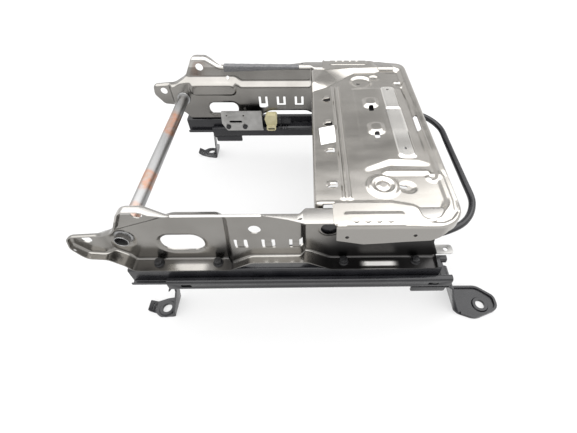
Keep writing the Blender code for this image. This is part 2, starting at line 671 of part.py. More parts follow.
def front_pan():
    outline = rounded(PAN_OUTLINE, 5)
    below, above = PAN_TOP - SKIRT_DEPTH - 0.006, PAN_TOP + 0.02
    pan = plate(outline, "Z", below, PAN_TOP)
    cut(pan, plate(shrunk(outline, PAN_SHEET), "Z", below - 0.01, PAN_UNDERSIDE))
    floor = rectangle(0.088, 0, 0.220, 2 * (PAN_MIDDLE_HALF - 0.003), 0.020, 3)
    press(pan, floor, PAN_TOP, -FLOOR_DROP, 0.006)

    # The skirt is deep at the sides, shallower at the front and least at the rear.
    depths = (
        (-0.05, 0.06), (0.26, 0.06), (0.26, 0.0145), (0.191, 0.0145), (0.183, 0.0205), (0.170, 0.0295),
        (0.134, 0.0335), (0.104, 0.0385), (0.078, SKIRT_DEPTH), (0.065, 0.0375), (0.030, 0.0295),
        (0.030, 0.0225), (-0.05, 0.0225),
    )
    skirt = [(x, PAN_TOP - depth) for x, depth in depths]
    cut(pan, plate(skirt, "Y", -PAN_HALF - 0.05, PAN_HALF + 0.05))
    for side in SIDES:
        passage = (PAN_MIDDLE_HALF + 0.0003, PAN_HALF - PAN_SHEET)
        rear = (WING_REAR - 0.01, WING_REAR + 0.004)
        cut(pan, side_block(side, rear, passage, (below - 0.01, PAN_UNDERSIDE)))

    # Hump with the long pad that the cushion rests on
    hump = rounded([(0.093, -0.114, 0.010), (0.190, -0.100, 0.012), (0.190, 0.124, 0.012),
                    (0.093, 0.124, 0.010)], 2)
    press(pan, hump, FLOOR_TOP, 0.0035, 0.005)
    raised = FLOOR_TOP + 0.0035
    press(pan, rectangle(0.1595, 0.019, 0.027, 0.222, 0.008, 2), raised, 0.003, 0.002)
    cut(pan, plate(rectangle(0.1595, 0.014, 0.021, 0.072), "Z", raised + 0.0022, raised + 0.01))
    for y in (0.060, -0.022):
        dome = rectangle(0.1200, y + 0.006, 0.030, 0.036, 0.012, 2)
        join(pan, loft(dome, raised - PAN_SHEET / 2, shrunk(dome, 0.008), raised + 0.005, "Z"))
        cut(pan, plate(rectangle(0.1195, y - 0.014, 0.009, 0.014, 0.003, 1), "Z", below, above))

    # Rear strip: a double bead and four lanced tabs
    for x in (0.0525, 0.0605):
        bead = rectangle(x, -0.025, 0.005, 0.312, 0.0018, 1)
        join(pan, loft(bead, FLOOR_TOP - 0.0005, shrunk(bead, 0.001), FLOOR_TOP + 0.0022, "Z"))
    for y in (0.086, 0.006, -0.069, -0.150):
        cut(pan, plate(rectangle(0.043, y, 0.006, 0.011), "Z", below, above))
        join(pan, block((0.029, y - 0.004, FLOOR_TOP - 0.0005), (0.0405, y + 0.004, FLOOR_TOP + 0.002)))

    # Round seats beside the hump
    seat = circle(0.112, 0.153, 0.022, 10)
    press(pan, seat, FLOOR_TOP, -0.0035, 0.004)
    cut(pan, rod("Z", (0.106, 0.150), 0.004, below, above, 8))
    boss = circle(0.112, -0.155, 0.022, 10)
    press(pan, boss, FLOOR_TOP, 0.0035, 0.004)
    cut(pan, rod("Z", (0.112, -0.155), 0.009, FLOOR_TOP + 0.0025, above, 10))
    ridge = rectangle(0.150, -0.1255, 0.080, 0.010, 0.0045, 2)
    join(pan, loft(ridge, FLOOR_TOP - 0.0005, shrunk(ridge, 0.0025), FLOOR_TOP + 0.0035, "Z"))

    # Slots and holes
    cut(pan, plate(rectangle(0.1945, 0.001, 0.007, 0.046, 0.003, 2), "Z", below, above))
    cut(pan, plate(rectangle(0.142, -0.155, 0.012, 0.006, 0.002, 1), "Z", below, above))
    for x, y, radius in ((0.158, 0.109, 0.003), (0.159, -0.075, 0.003), (0.186, 0.150, 0.003),
                         (0.184, -0.140, 0.004), (0.142, 0.170, 0.0025)):
        cut(pan, rod("Z", (x, y), radius, below, above, 8))
    for side in SIDES:
        patch = rectangle(0.0905, side * (PAN_HALF - 0.0135), 0.079, 0.020, 0.003, 1)
        join(pan, loft(patch, PAN_TOP - 0.0005, shrunk(patch, 0.0008), PAN_TOP + 0.0009, "Z"))
        for x in (0.065, 0.080, 0.095, 0.110):
            dimple = (x, side * (PAN_HALF - 0.010))
            cut(pan, rod("Z", dimple, 0.0026, PAN_TOP + 0.0001, above, 6))
        for x, drop in ((0.054, 0.0245), (0.146, 0.0215)):
            cut(pan, side_rod(side, x, PAN_TOP - drop, 0.0028, PAN_HALF - 0.01, PAN_HALF + 0.01, 6))
    return finish(pan, "front_pan", PAN_STEEL)


# Floor feet

def bent_strip(line, thickness):
    """The closed outline of a bent strip, from the line (x, z) of its upper face, rear to front."""
    under = []
    for index, (x, z) in enumerate(line):
        before = line[max(index - 1, 0)]
        after = line[min(index + 1, len(line) - 1)]
        first = math.atan2(z - before[1], x - before[0]) if index else None
        second = math.atan2(after[1] - z, after[0] - x) if index < len(line) - 1 else None
        angles = [angle for angle in (first, second) if angle is not None]
        middle = sum(angles) / len(angles)
        reach = thickness / math.cos((angles[-1] - angles[0]) / 2)
        under.append((x + reach * math.sin(middle), z - reach * math.cos(middle)))
    return list(line[::-1]) + under


def foot(side, line, plan, hole_x, rivets, name):
    seat = RAIL_BOTTOM - SEAT_GAP
    """A bent strip trimmed to a plan (x, distance out from the rail's middle, radius)."""
    outer = [(x, TRACK_DEPTH + across, radius) for x, across, radius in plan]
    widest = (side * (TRACK_DEPTH - 0.06), side * (TRACK_DEPTH + 0.09))
    piece = plate(bent_strip(line, FOOT_SHEET), "Y", *sorted(widest))
    trim(piece, plate(mirrored(rounded(outer, 2), side), "Z", -0.01, seat + 0.001))
    centre = (hole_x, side * FOOT_DEPTH)
    join(piece, rod("Z", centre, 0.0165, FOOT_SHEET / 2, FOOT_SHEET + 0.0025, 10, 0.0135))
    cut(piece, rod("Z", centre, 0.0085, -0.01, 0.02, 10))
    for x in rivets:
        cut(piece, rod("Z", (x, side * TRACK_DEPTH), RIVET_RADIUS + SEAT_GAP, seat - 0.01, seat + 0.01, 6))
    return finish(piece, f"{name}_{SIDES[side]}", BLACK_COAT)


def rear_foot(side):
    """A sole outboard of the rail, a tapered leg, and a pad under the rail with a turned-down edge."""
    seat = RAIL_BOTTOM - SEAT_GAP
    line = ((-0.289, 0.011), (-0.278, FOOT_SHEET), (-0.242, FOOT_SHEET), (-0.231, seat - 0.004),
            (-0.226, seat), (-0.160, seat))
    plan = ((-0.278, 0.026, 0.002), (-0.290, 0.025, 0.003), (-0.290, 0.005, 0.003), (-0.278, 0.004, 0.002),
            (-0.262, -0.002, 0.008), (-0.238, -0.006, 0.003), (-0.231, -0.014, 0.003),
            (-0.226, -0.023, 0.002), (-0.160, -0.023, 0.003), (-0.160, 0.016, 0.004),
            (-0.228, 0.016, 0.003), (-0.237, 0.033, 0.008), (-0.268, 0.034, 0.010))
    piece = foot(side, line, plan, FOOT_REAR_HOLE, RIVETS_REAR, "rear_foot")
    taper = [(TRACK_DEPTH + across, z) for across, z in ((0.042, 0.008), (0.042, 0.074), (0.004, 0.074),
                                                         (0.004, 0.040))]
    cut(piece, plate(mirrored_section(taper, side), "X", -0.243, -0.2285))
    edge = (TRACK_DEPTH - 0.023, TRACK_DEPTH - 0.020)
    join(piece, side_block(side, (-0.222, -0.160), edge, (0.068, seat - 0.001)))
    return finish(piece, f"rear_foot_{SIDES[side]}", BLACK_COAT)


def front_foot(side):
    """A round sole in front of the rail, a slanting leg, and a pad with its outer edge turned down."""
    seat = RAIL_BOTTOM - SEAT_GAP
    line = ((0.172, seat), (0.238, seat), (0.245, seat - 0.005), (0.266, 0.010), (0.275, FOOT_SHEET),
            (0.3505, FOOT_SHEET))
    plan = ((0.172, -0.018, 0.004), (0.236, -0.018, 0.004), (0.262, -0.021, 0.010), (0.322, -0.020, 0.024),
            (0.350, 0.002, 0.014), (0.350, 0.028, 0.020), (0.302, 0.046, 0.026), (0.262, 0.030, 0.014),
            (0.236, 0.0245, 0.006), (0.172, 0.0245, 0.002))
    piece = foot(side, line, plan, FOOT_FRONT_HOLE, RIVETS_FRONT, "front_foot")
    edge = (TRACK_DEPTH + 0.0215, TRACK_DEPTH + 0.0245)
    join(piece, side_block(side, (0.1725, 0.230), edge, (0.070, seat - 0.001)))
    return finish(piece, f"front_foot_{SIDES[side]}", BLACK_COAT)


def foot_rivet(side, number, x):
    centre = (x, side * TRACK_DEPTH)
    floor = RAIL_BOTTOM + RAIL_SHEET + SEAT_GAP
    under = RAIL_BOTTOM - FOOT_SHEET - 2 * SEAT_GAP
    rivet = rod("Z", centre, 0.0065, floor, floor + 0.002, 6, 0.005)
    join(rivet, rod("Z", centre, RIVET_RADIUS, under - 0.001, floor + 0.001, 6))
    join(rivet, rod("Z", centre, 0.005, under - 0.0022, under, 6, 0.0065))
    return finish(rivet, f"foot_rivet_{SIDES[side]}_{number}", BLACK_BOLT)


# Latches and release handle

def latch_bracket(side):
    base = (BRACKET_DEPTH - BRACKET_SHEET, BRACKET_DEPTH)
    bracket = side_block(side, (-0.062, 0.084), base, (LIP_TOP + 0.0015, 0.131))
    # A tab runs up behind the member's round hole and steadies the bracket.
    join(bracket, side_block(side, (0.012, 0.056), base, (0.120, 0.2145)))
    for x in (-0.062, LATCH_FRONT + 0.005):
        ear = ((x, x + BRACKET_SHEET), (LATCH_DEPTH - 0.006, base[1]), (LIP_TOP + 0.0015, LATCH_Z + 0.006))
        join(bracket, side_block(side, *ear))
    hole = LATCH_PIN_RADIUS + PIVOT_CLEARANCE
    cut(bracket, rod("X", (side * LATCH_DEPTH, LATCH_Z), hole, -0.10, 0.10, 8))
    return finish(bracket, f"latch_bracket_{SIDES[side]}", BLACK_COAT)


def latch_pin(side):
    centre = (side * LATCH_DEPTH, LATCH_Z)
    front = LATCH_FRONT + 0.005 + BRACKET_SHEET + SEAT_GAP
    pin = rod("X", centre, LATCH_PIN_RADIUS, -0.0665, front + 0.001, 8)
    join(pin, rod("X", centre, 0.004, front, front + 0.0015, 8))
    return finish(pin, f"latch_pin_{SIDES[side]}", BLACK_BOLT)


def latch_lever(side):
    centre = (side * LATCH_DEPTH, LATCH_Z)
    lever = rod("X", centre, 0.0045, -0.044, LATCH_FRONT, 8)
    level = (LATCH_Z - 0.0015, LATCH_Z + 0.0015)
    first, last = TOOTH_PLACES[0] - 0.004, TOOTH_PLACES[-1] + 0.004
    join(lever, side_block(side, (first, last), (LATCH_DEPTH, TOOTH_DEPTH + 0.002), level))
    for x in TOOTH_PLACES:
        tooth = ((x - 0.003, x + 0.003), (TOOTH_DEPTH - 0.0015, TOOTH_DEPTH + 0.0020))
        join(lever, side_block(side, *tooth, (LIP_TOP + SEAT_GAP, LATCH_Z + 0.0015)))
    tail = ((FINGER_X - 0.008, FINGER_X + 0.006), (LEVER_DEPTH - 0.006, LATCH_DEPTH))
    join(lever, side_block(side, *tail, (LATCH_Z - 0.001, LATCH_Z + 0.002)))
    hole = LATCH_PIN_RADIUS + PIVOT_CLEARANCE
    cut(lever, rod("X", centre, hole, -0.10, 0.10, 8))
    return finish(lever, f"latch_lever_{SIDES[side]}", BLACK_COAT)


def latch_spring(side):
    """A wire coil round the latch pin, with one leg on the lever and one on the bracket."""
    radius, wire, turns, steps = 0.0045, 0.0006, 2, 5
    start = -0.0565
    points = [(start, side * (BRACKET_DEPTH - BRACKET_SHEET - 0.0012), LATCH_Z - radius)]
    for step in range(turns * steps + 1):
        angle = -math.pi / 2 - side * 2 * math.pi * step / steps
        across = radius * math.cos(angle)
        points.append((start + 0.010 * step / (turns * steps), side * LATCH_DEPTH + across,
                       LATCH_Z + radius * math.sin(angle)))
    return finish(tube(points, wire, 0), f"latch_spring_{SIDES[side]}", SPRING_STEEL)


def handle_pivot(side):
    low = LEVER_DEPTH - LEVER_SHEET / 2 - 0.0025
    wall = BRACKET_DEPTH - BRACKET_SHEET - SEAT_GAP
    pin = side_rod(side, HANDLE_PIVOT_X, HANDLE_PIVOT_Z, PIVOT_RADIUS, low, wall, 8)
    join(pin, side_rod(side, HANDLE_PIVOT_X, HANDLE_PIVOT_Z, 0.0065, low - 0.002, low + 0.0005, 8))
    collar = (LEVER_DEPTH + LEVER_SHEET / 2 + 0.001, LEVER_DEPTH + LEVER_SHEET / 2 + 0.004)
    join(pin, side_rod(side, HANDLE_PIVOT_X, HANDLE_PIVOT_Z, 0.0065, *collar, 8))
    return finish(pin, f"handle_pivot_{SIDES[side]}", BLACK_BOLT)


def release_handle():
    """The bent bar across the front, with a lever plate on each end."""
    half = [
        (0.094, 0.0, 0.129), (0.130, 0.003, 0.133), (0.175, 0.007, 0.143), (0.210, 0.008, 0.152),
        (0.236, 0.002, BAR_Z), (0.257, -0.010, BAR_Z), (0.273, -0.027, BAR_Z), (0.284, -0.048, BAR_Z),
        (BAR_X, -0.070, BAR_Z),
    ]
    path = [(x, -ARM_DEPTH - out, z) for x, out, z in half]
    path += [(x, ARM_DEPTH + out, z) for x, out, z in reversed(half)]
    handle = tube(path, BAR_RADIUS, 2)
    depth = (LEVER_DEPTH - LEVER_SHEET / 2, LEVER_DEPTH + LEVER_SHEET / 2)
    low = LATCH_Z + 0.002 + FINGER_PLAY
    outline = rounded([
        (FINGER_X - 0.006, low, 0.001), (FINGER_X + 0.005, low, 0.001), (FINGER_X + 0.009, low + 0.004, 0.0),
        (0.118, 0.1285, 0.002), (0.118, 0.135, 0.002), (0.064, 0.134, 0.006),
        (FINGER_X - 0.006, low + 0.008, 0.002),
    ], 2)
    for side in SIDES:
        join(handle, side_plate(outline, side, *depth))
        hole = PIVOT_RADIUS + PIVOT_CLEARANCE
        cut(handle, side_rod(side, HANDLE_PIVOT_X, HANDLE_PIVOT_Z, hole, depth[0] - 0.01, depth[1] + 0.01, 8))
    return finish(handle, "release_handle", BLACK_COAT)


# Small pieces on the frame

def foam_strip():
    """A wedge of dark foam stuck along the left member's top flange."""
    rear, front = -0.176, -0.016
    low = TOP_LEVEL + SEAT_GAP
    wide = [(rear, low), (front, low), (front, low + 0.002), (rear, low + 0.005)]
    strip = side_plate(wide, LEFT, WEB_DEPTH + 0.0016, WEB_DEPTH + 0.0156)
    return finish(strip, "foam_strip_left", FOAM)


def harness_bracket():
    """A zinc plate held off the left rail, just inboard of the lower rail, by two shouldered rivets."""
    outline = rounded([(-0.200, 0.122, 0.004), (-0.190, 0.102, 0.005), (-0.104, 0.102, 0.0),
                       (-0.104, 0.154, 0.0), (-0.197, 0.154, 0.004)], 2)
    piece = side_plate(outline, LEFT, *HARNESS_DEPTH)
    lip = (HARNESS_DEPTH[0] - 0.006, HARNESS_DEPTH[1])
    join(piece, side_block(LEFT, (-0.1055, -0.104), lip, (0.110, 0.154)))
    through = (HARNESS_DEPTH[0] - 0.01, HARNESS_DEPTH[1] + 0.01)
    cut(piece, side_plate(rectangle(-0.167, 0.126, 0.030, 0.006, 0.0028, 2), LEFT, *through))
    for x in HARNESS_RIVETS:
        cut(piece, side_rod(LEFT, x, 0.142, 0.0022, *through, 6))
        cut(piece, side_rod(LEFT, x, HARNESS_RIVET_Z, 0.0025 + SEAT_GAP, *through, 8))
    return finish(piece, "harness_bracket", ZINC)


def bracket_rivet(number, x):
    head = HARNESS_DEPTH[0] - SEAT_GAP
    rivet = side_rod(LEFT, x, HARNESS_RIVET_Z, 0.0055, head - 0.0025, head, 8)
    join(rivet, side_rod(LEFT, x, HARNESS_RIVET_Z, 0.0025, head - 0.001, HARNESS_DEPTH[1] + 0.001, 8))
    shoulder = HARNESS_DEPTH[1] + SEAT_GAP
    join(rivet, side_rod(LEFT, x, HARNESS_RIVET_Z, 0.0038, shoulder, BRACKET_DEPTH, 8))
    return finish(rivet, f"bracket_rivet_{number}", BLACK_BOLT)


def connector():
    """The cream harness connector, parked on the rail's wall beside the bracket."""
    outline = rounded([(-0.094, 0.112, 0.003), (-0.074, 0.112, 0.003), (-0.070, 0.122, 0.002),
                       (-0.070, 0.143, 0.003), (-0.094, 0.143, 0.003), (-0.099, 0.133, 0.002)], 1)
    face = BRACKET_DEPTH - 0.0157
    piece = side_plate(outline, LEFT, face, BRACKET_DEPTH)
    loop = rectangle(-0.0845, 0.110, 0.022, 0.014, 0.003, 1)
    join(piece, side_plate(loop, LEFT, face - 0.0025, face + 0.001))
    cut(piece, side_plate(rectangle(-0.0845, 0.1075, 0.015, 0.005), LEFT, face - 0.01, BRACKET_DEPTH + 0.01))
    return finish(piece, "harness_connector", CREAM_PLASTIC)


def cable_tab():
    """A zinc tab with a hole, welded inside the right member's front end."""
    inner = WEB_DEPTH - SEAT_GAP
    plan = rounded([(0.190, inner - 0.018, 0.002), (0.240, inner - 0.018, 0.005), (0.240, inner, 0.005),
                    (0.190, inner, 0.0)], 2)
    tab = plate(mirrored(plan, RIGHT), "Z", 0.126, 0.1275)
    join(tab, side_block(RIGHT, (0.190, 0.206), (inner - 0.0015, inner), (0.127, 0.142)))
    cut(tab, rod("Z", (0.228, RIGHT * (inner - 0.009)), 0.004, 0.12, 0.13, 10))
    return finish(tab, "cable_tab", ZINC)


for side in SIDES:
    side_member(side)
    upper_rail(side)
    lower_rail(side)
    ball_cage(side, True)
    ball_cage(side, False)
    rear_foot(side)
    front_foot(side)
    for number, place in enumerate(BOLT_PLACES, 1):
        frame_bolt(side, number, place)
    for number, place in enumerate(RIVETS_REAR + RIVETS_FRONT, 1):
        foot_rivet(side, number, place)
    latch_bracket(side)
    latch_pin(side)
    latch_lever(side)
    latch_spring(side)
    handle_pivot(side)
cross_tube()
front_pan()
release_handle()
foam_strip()
harness_bracket()
for number, place in enumerate(HARNESS_RIVETS, 1):
    bracket_rivet(number, place)
connector()
cable_tab()
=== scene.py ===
"""Looks of a car seat's cushion frame on its two slide rails.

The seat faces +X, its left side is +Y and Z is up. Sizes are in metres, in the frame of the solids.
A "depth" is a distance from the middle plane of the seat. The sections follow the order of assembly.
"""

import math

import bmesh
import bpy
import numpy as np
from mathutils import Matrix, Vector


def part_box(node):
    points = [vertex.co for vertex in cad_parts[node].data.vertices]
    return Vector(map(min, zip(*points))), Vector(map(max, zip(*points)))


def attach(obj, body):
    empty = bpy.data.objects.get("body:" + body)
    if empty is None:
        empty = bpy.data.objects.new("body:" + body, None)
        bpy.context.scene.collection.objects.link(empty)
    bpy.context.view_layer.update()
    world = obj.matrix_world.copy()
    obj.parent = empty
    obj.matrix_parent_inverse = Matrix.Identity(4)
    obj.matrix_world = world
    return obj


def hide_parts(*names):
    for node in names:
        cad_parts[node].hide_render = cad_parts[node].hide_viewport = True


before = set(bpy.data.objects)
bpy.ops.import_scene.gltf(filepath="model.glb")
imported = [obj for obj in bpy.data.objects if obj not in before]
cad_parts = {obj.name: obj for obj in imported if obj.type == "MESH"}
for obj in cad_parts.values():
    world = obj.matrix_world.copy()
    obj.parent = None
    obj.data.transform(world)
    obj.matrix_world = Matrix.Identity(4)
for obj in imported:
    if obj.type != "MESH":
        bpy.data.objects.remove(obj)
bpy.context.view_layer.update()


# Studio
# A white sweep of floor under a wide overhead softbox, with the light falling off towards the walls,
# and a short lens close above the right side of the seat.

EYE = Vector((0.0021, -0.5142, 0.5874))
EYE_TURN, EYE_DOWN, EYE_ROLL = (math.radians(angle) for angle in (1.124, 49.393, 0.377))
PICTURE = (577, 433)
FOCUS = 340.61          # in pixels of the picture
CENTRE = (312.84, 218.38)

ahead = Vector((math.sin(EYE_TURN) * math.cos(EYE_DOWN), math.cos(EYE_TURN) * math.cos(EYE_DOWN),
                -math.sin(EYE_DOWN)))
level = ahead.cross(Vector((0, 0, 1))).normalized()
above = level.cross(ahead)
across = level * math.cos(EYE_ROLL) + above * math.sin(EYE_ROLL)
upright = above * math.cos(EYE_ROLL) - level * math.sin(EYE_ROLL)
lens = bpy.data.cameras.new("camera")
lens.sensor_width = 36
lens.lens = FOCUS * lens.sensor_width / PICTURE[0]
lens.shift_x = -(CENTRE[0] - PICTURE[0] / 2) / PICTURE[0]
lens.shift_y = (CENTRE[1] - PICTURE[1] / 2) / PICTURE[0]
lens.clip_start = 0.01
camera = bpy.data.objects.new("camera", lens)
bpy.context.scene.collection.objects.link(camera)
camera.matrix_world = Matrix.Translation(EYE) @ Matrix((across, upright, -ahead)).transposed().to_4x4()
bpy.context.scene.camera = camera
bpy.context.scene.view_settings.view_transform = "Standard"

HORIZON_LIGHT = 0.95
WALL_LIGHT = 0.50
CEILING_LIGHT = 3.3
WALL_FADE = (0.34, 0.62)        # heights of the direction over which the wall darkens
CEILING_FADE = (0.657, 0.702)   # where the ceiling's light ends towards the left
CEILING_START = (0.38, 0.56)    # heights over which wall turns into ceiling

world = bpy.data.worlds.new("studio")
bpy.context.scene.world = world
world.use_nodes = True
sky = world.node_tree
direction = sky.nodes.new("ShaderNodeTexCoord")
part_of = sky.nodes.new("ShaderNodeSeparateXYZ")
sky.links.new(direction.outputs["Generated"], part_of.inputs[0])


def sky_range(source, low, high, from_low, from_high):
    """A smooth change of brightness over a range of one part of the direction."""
    change = sky.nodes.new("ShaderNodeMapRange")
    change.interpolation_type = "SMOOTHSTEP"
    change.inputs["From Min"].default_value = from_low
    change.inputs["From Max"].default_value = from_high
    change.inputs["To Min"].default_value = low
    change.inputs["To Max"].default_value = high
    sky.links.new(part_of.outputs[source], change.inputs["Value"])
    return change.outputs["Result"]


def sky_mix(factor, first, second):
    """Two brightnesses mixed by a third value. Each is a number or an output."""
    mix = sky.nodes.new("ShaderNodeMix")
    for socket, value in (("Factor", factor), ("A", first), ("B", second)):
        if isinstance(value, (int, float)):
            mix.inputs[socket].default_value = value
        else:
            sky.links.new(value, mix.inputs[socket])
    return mix.outputs["Result"]


wall = sky_range("Z", HORIZON_LIGHT, WALL_LIGHT, *WALL_FADE)
overhead = sky_mix(sky_range("Y", 1.0, 0.0, *CEILING_FADE), wall, CEILING_LIGHT)
lit = sky_mix(sky_range("Z", 0.0, 1.0, *CEILING_START), wall, overhead)
view = sky.nodes.new("ShaderNodeLightPath")
glow = sky.nodes["Background"]
glow.inputs["Color"].default_value = (1, 1, 1, 1)
sky.links.new(sky_mix(view.outputs["Is Camera Ray"], lit, 1.0), glow.inputs["Strength"])


def softbox(name, place, target, width, depth, watts):
    """A large rectangular light that is turned to its target."""
    light = bpy.data.lights.new(name, "AREA")
    light.shape = "RECTANGLE"
    light.size = width
    light.size_y = depth
    light.energy = watts
    thing = bpy.data.objects.new(name, light)
    bpy.context.scene.collection.objects.link(thing)
    aim = Vector(target) - Vector(place)
    thing.matrix_world = Matrix.Translation(place) @ aim.to_track_quat("-Z", "Y").to_matrix().to_4x4()


softbox("overhead", (0.15, 0.35, 2.2), (0.05, 0.0, 0.2), 1.6, 1.2, 6)

sweep = bmesh.new()
bmesh.ops.create_grid(sweep, x_segments=1, y_segments=1, size=14)
bmesh.ops.translate(sweep, vec=(0, 0, -0.0006), verts=sweep.verts)
sweep_mesh = bpy.data.meshes.new("floor")
sweep.to_mesh(sweep_mesh)
sweep.free()
floor = bpy.data.objects.new("floor", sweep_mesh)
bpy.context.scene.collection.objects.link(floor)
paper = bpy.data.materials.new("white_paper")
paper.use_nodes = True
matt = paper.node_tree.nodes["Principled BSDF"].inputs
matt["Base Color"].default_value = (0.20, 0.20, 0.20, 1)
matt["Emission Color"].default_value = (1, 1, 1, 1)
matt["Emission Strength"].default_value = 0.60
matt["Roughness"].default_value = 0.9
matt["Specular IOR Level"].default_value = 0.0
floor.data.materials.append(paper)


# Lower slide rails
# Two channels rolled from 2 mm steel strip, open at the top between two turned-in lips, dipped in
# glossy black. The inner lip is pierced with the row of slots that the latch teeth drop into.

RIGHT, LEFT = -1, 1
SIDES = {RIGHT: "right", LEFT: "left"}
TRACK_DEPTH = 0.210
RAIL_SHEET = 0.002
LOWER_HALF = 0.025
LIP_HALF = 0.014
LIP_DROP = 0.010
NOTCH_REAR, NOTCH_PITCH, NOTCH_COUNT = -0.115, 0.020, 13
NOTCH_SIZE = (0.010, 0.005)
WINDOW_INSET, WINDOW_RISE = 0.030, 0.012
WINDOW_SIZE = (0.017, 0.007)


def arcs(corners, steps=5):
    """The points of a closed outline from corners (a, b, radius), with an arc at each corner."""
    points = []
    for index, (a, b, radius) in enumerate(corners):
        corner = Vector((a, b))
        back = Vector(corners[index - 1][:2]) - corner
        on = Vector(corners[(index + 1) % len(corners)][:2]) - corner
        half = back.angle(on) / 2
        reach = min(radius / math.tan(half), 0.48 * back.length, 0.48 * on.length)
        if reach < 0.00002:
            points.append(corner)
            continue
        start = corner + back.normalized() * reach
        centre = corner + (back.normalized() + on.normalized()).normalized() * reach / math.cos(half)
        arm = start - centre
        turn = arm.angle_signed(corner + on.normalized() * reach - centre)
        points += [centre + Matrix.Rotation(-turn * step / steps, 2) @ arm for step in range(steps + 1)]
    return points


def boxed(a, b, length, width, radius, steps=4):
    """A rectangle round a middle, with round corners."""
    low_a, high_a, low_b, high_b = a - length / 2, a + length / 2, b - width / 2, b + width / 2
    return arcs([(low_a, low_b, radius), (high_a, low_b, radius), (high_a, high_b, radius),
                 (low_a, high_b, radius)], steps)


def ring(a, b, radius, sides=36):
    """The points of a circle."""
    turn = 2 * math.pi / sides
    return [Vector((a + radius * math.cos(turn * i), b + radius * math.sin(turn * i))) for i in range(sides)]


def filled(shape, places):
    """Adds a closed outline to a bmesh and fills it with one face."""
    corners = [shape.verts.new(place) for place in places]
    edges = [shape.edges.new((corners[index - 1], corner)) for index, corner in enumerate(corners)]
    return bmesh.ops.contextual_create(shape, geom=edges)["faces"]


def slab(outline, axis, low, high):
    """A bmesh of a flat outline given a thickness along an axis: 0 for X, 1 for Y and 2 for Z."""
    shape = bmesh.new()
    places = [list(point) for point in outline]
    for place in places:
        place.insert(axis, low)
    grown = bmesh.ops.extrude_face_region(shape, geom=filled(shape, places))["geom"]
    lift = [0.0, 0.0, 0.0]
    lift[axis] = high - low
    corners = [item for item in grown if isinstance(item, bmesh.types.BMVert)]
    bmesh.ops.translate(shape, vec=lift, verts=corners)
    bmesh.ops.recalc_face_normals(shape, faces=shape.faces)
    return shape


def made(name, shape):
    """An object from a bmesh, which is used up."""
    mesh = bpy.data.meshes.new(name)
    shape.to_mesh(mesh)
    shape.free()
    thing = bpy.data.objects.new(name, mesh)
    bpy.context.scene.collection.objects.link(thing)
    return thing


def applied(thing):
    """Replaces the modifiers of a piece by the mesh that they give."""
    bpy.context.view_layer.update()
    graph = bpy.context.evaluated_depsgraph_get()
    mesh = bpy.data.meshes.new_from_object(thing.evaluated_get(graph))
    thing.modifiers.clear()
    thing.data = mesh
    return thing


def cut_away(thing, *cutters, operation="DIFFERENCE"):
    """Cuts the shapes of several bmeshes or objects out of a piece."""
    for number, cutter in enumerate(cutters):
        tool = made(f"cutter_{number}", cutter) if isinstance(cutter, bmesh.types.BMesh) else cutter
        boolean = thing.modifiers.new("cut", "BOOLEAN")
        boolean.operation = operation
        boolean.object = tool
        applied(thing)
        bpy.data.objects.remove(tool)
    return thing


def finish_piece(thing, surface, body, nodes=(), edge=0.0, sharp=32):
    """Rounds the sharp edges, shades the piece, hides the solids that it replaces and hangs it on the body
    that it rides on.
    """
    thing.data.materials.clear()
    thing.data.materials.append(surface)
    if edge:
        bevel = thing.modifiers.new("edges", "BEVEL")
        bevel.width = edge
        bevel.segments = 2
        bevel.limit_method = "ANGLE"
        bevel.angle_limit = math.radians(40)
        bevel.use_clamp_overlap = True
        applied(thing)
    thing.data.shade_smooth()
    thing.data.set_sharp_from_angle(angle=math.radians(sharp))
    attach(thing, body)
    if nodes:
        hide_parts(*nodes)
    return thing


def surface(name, colour, roughness, metallic):
    """A Principled material with its colour, and what the textures of the piece are plugged into."""
    made_of = bpy.data.materials.new(name)
    made_of.use_nodes = True
    tree = made_of.node_tree
    shader = tree.nodes["Principled BSDF"]
    shader.inputs["Base Color"].default_value = (*colour, 1)
    shader.inputs["Roughness"].default_value = roughness
    shader.inputs["Metallic"].default_value = metallic
    return made_of, tree, shader


def cloud(tree, scale, detail=3.0, stretch=(1, 1, 1)):
    """A noise on the object's own coordinates."""
    place = tree.nodes.new("ShaderNodeTexCoord")
    mapping = tree.nodes.new("ShaderNodeMapping")
    mapping.inputs["Scale"].default_value = stretch
    noise = tree.nodes.new("ShaderNodeTexNoise")
    noise.inputs["Scale"].default_value = scale
    noise.inputs["Detail"].default_value = detail
    tree.links.new(place.outputs["Object"], mapping.inputs["Vector"])
    tree.links.new(mapping.outputs["Vector"], noise.inputs["Vector"])
    return noise


def spread(tree, source, low, high, from_low=0.35, from_high=0.65):
    """Maps a texture's value to a range."""
    reach = tree.nodes.new("ShaderNodeMapRange")
    reach.inputs["From Min"].default_value = from_low
    reach.inputs["From Max"].default_value = from_high
    reach.inputs["To Min"].default_value = low
    reach.inputs["To Max"].default_value = high
    tree.links.new(source, reach.inputs["Value"])
    return reach.outputs["Result"]


def blended(tree, factor, first, second):
    """A colour between two, by a factor from a texture."""
    mix = tree.nodes.new("ShaderNodeMix")
    mix.data_type = "RGBA"
    mix.inputs["A"].default_value = (*first, 1)
    if isinstance(second, tuple):
        mix.inputs["B"].default_value = (*second, 1)
    else:
        tree.links.new(second, mix.inputs["B"])
    tree.links.new(factor, mix.inputs["Factor"])
    return mix.outputs["Result"]


def mottled(tree, shader, scale, detail, first, second):
    """Clouds of two shades."""
    tone = spread(tree, cloud(tree, scale, detail).outputs["Fac"], 0, 1)
    tree.links.new(blended(tree, tone, first, second), shader.inputs["Base Color"])


def uneven(tree, shader, scale, detail, low, high, stretch=(1, 1, 1)):
    """A roughness that changes a little from place to place."""
    noise = cloud(tree, scale, detail, stretch)
    tree.links.new(spread(tree, noise.outputs["Fac"], low, high), shader.inputs["Roughness"])


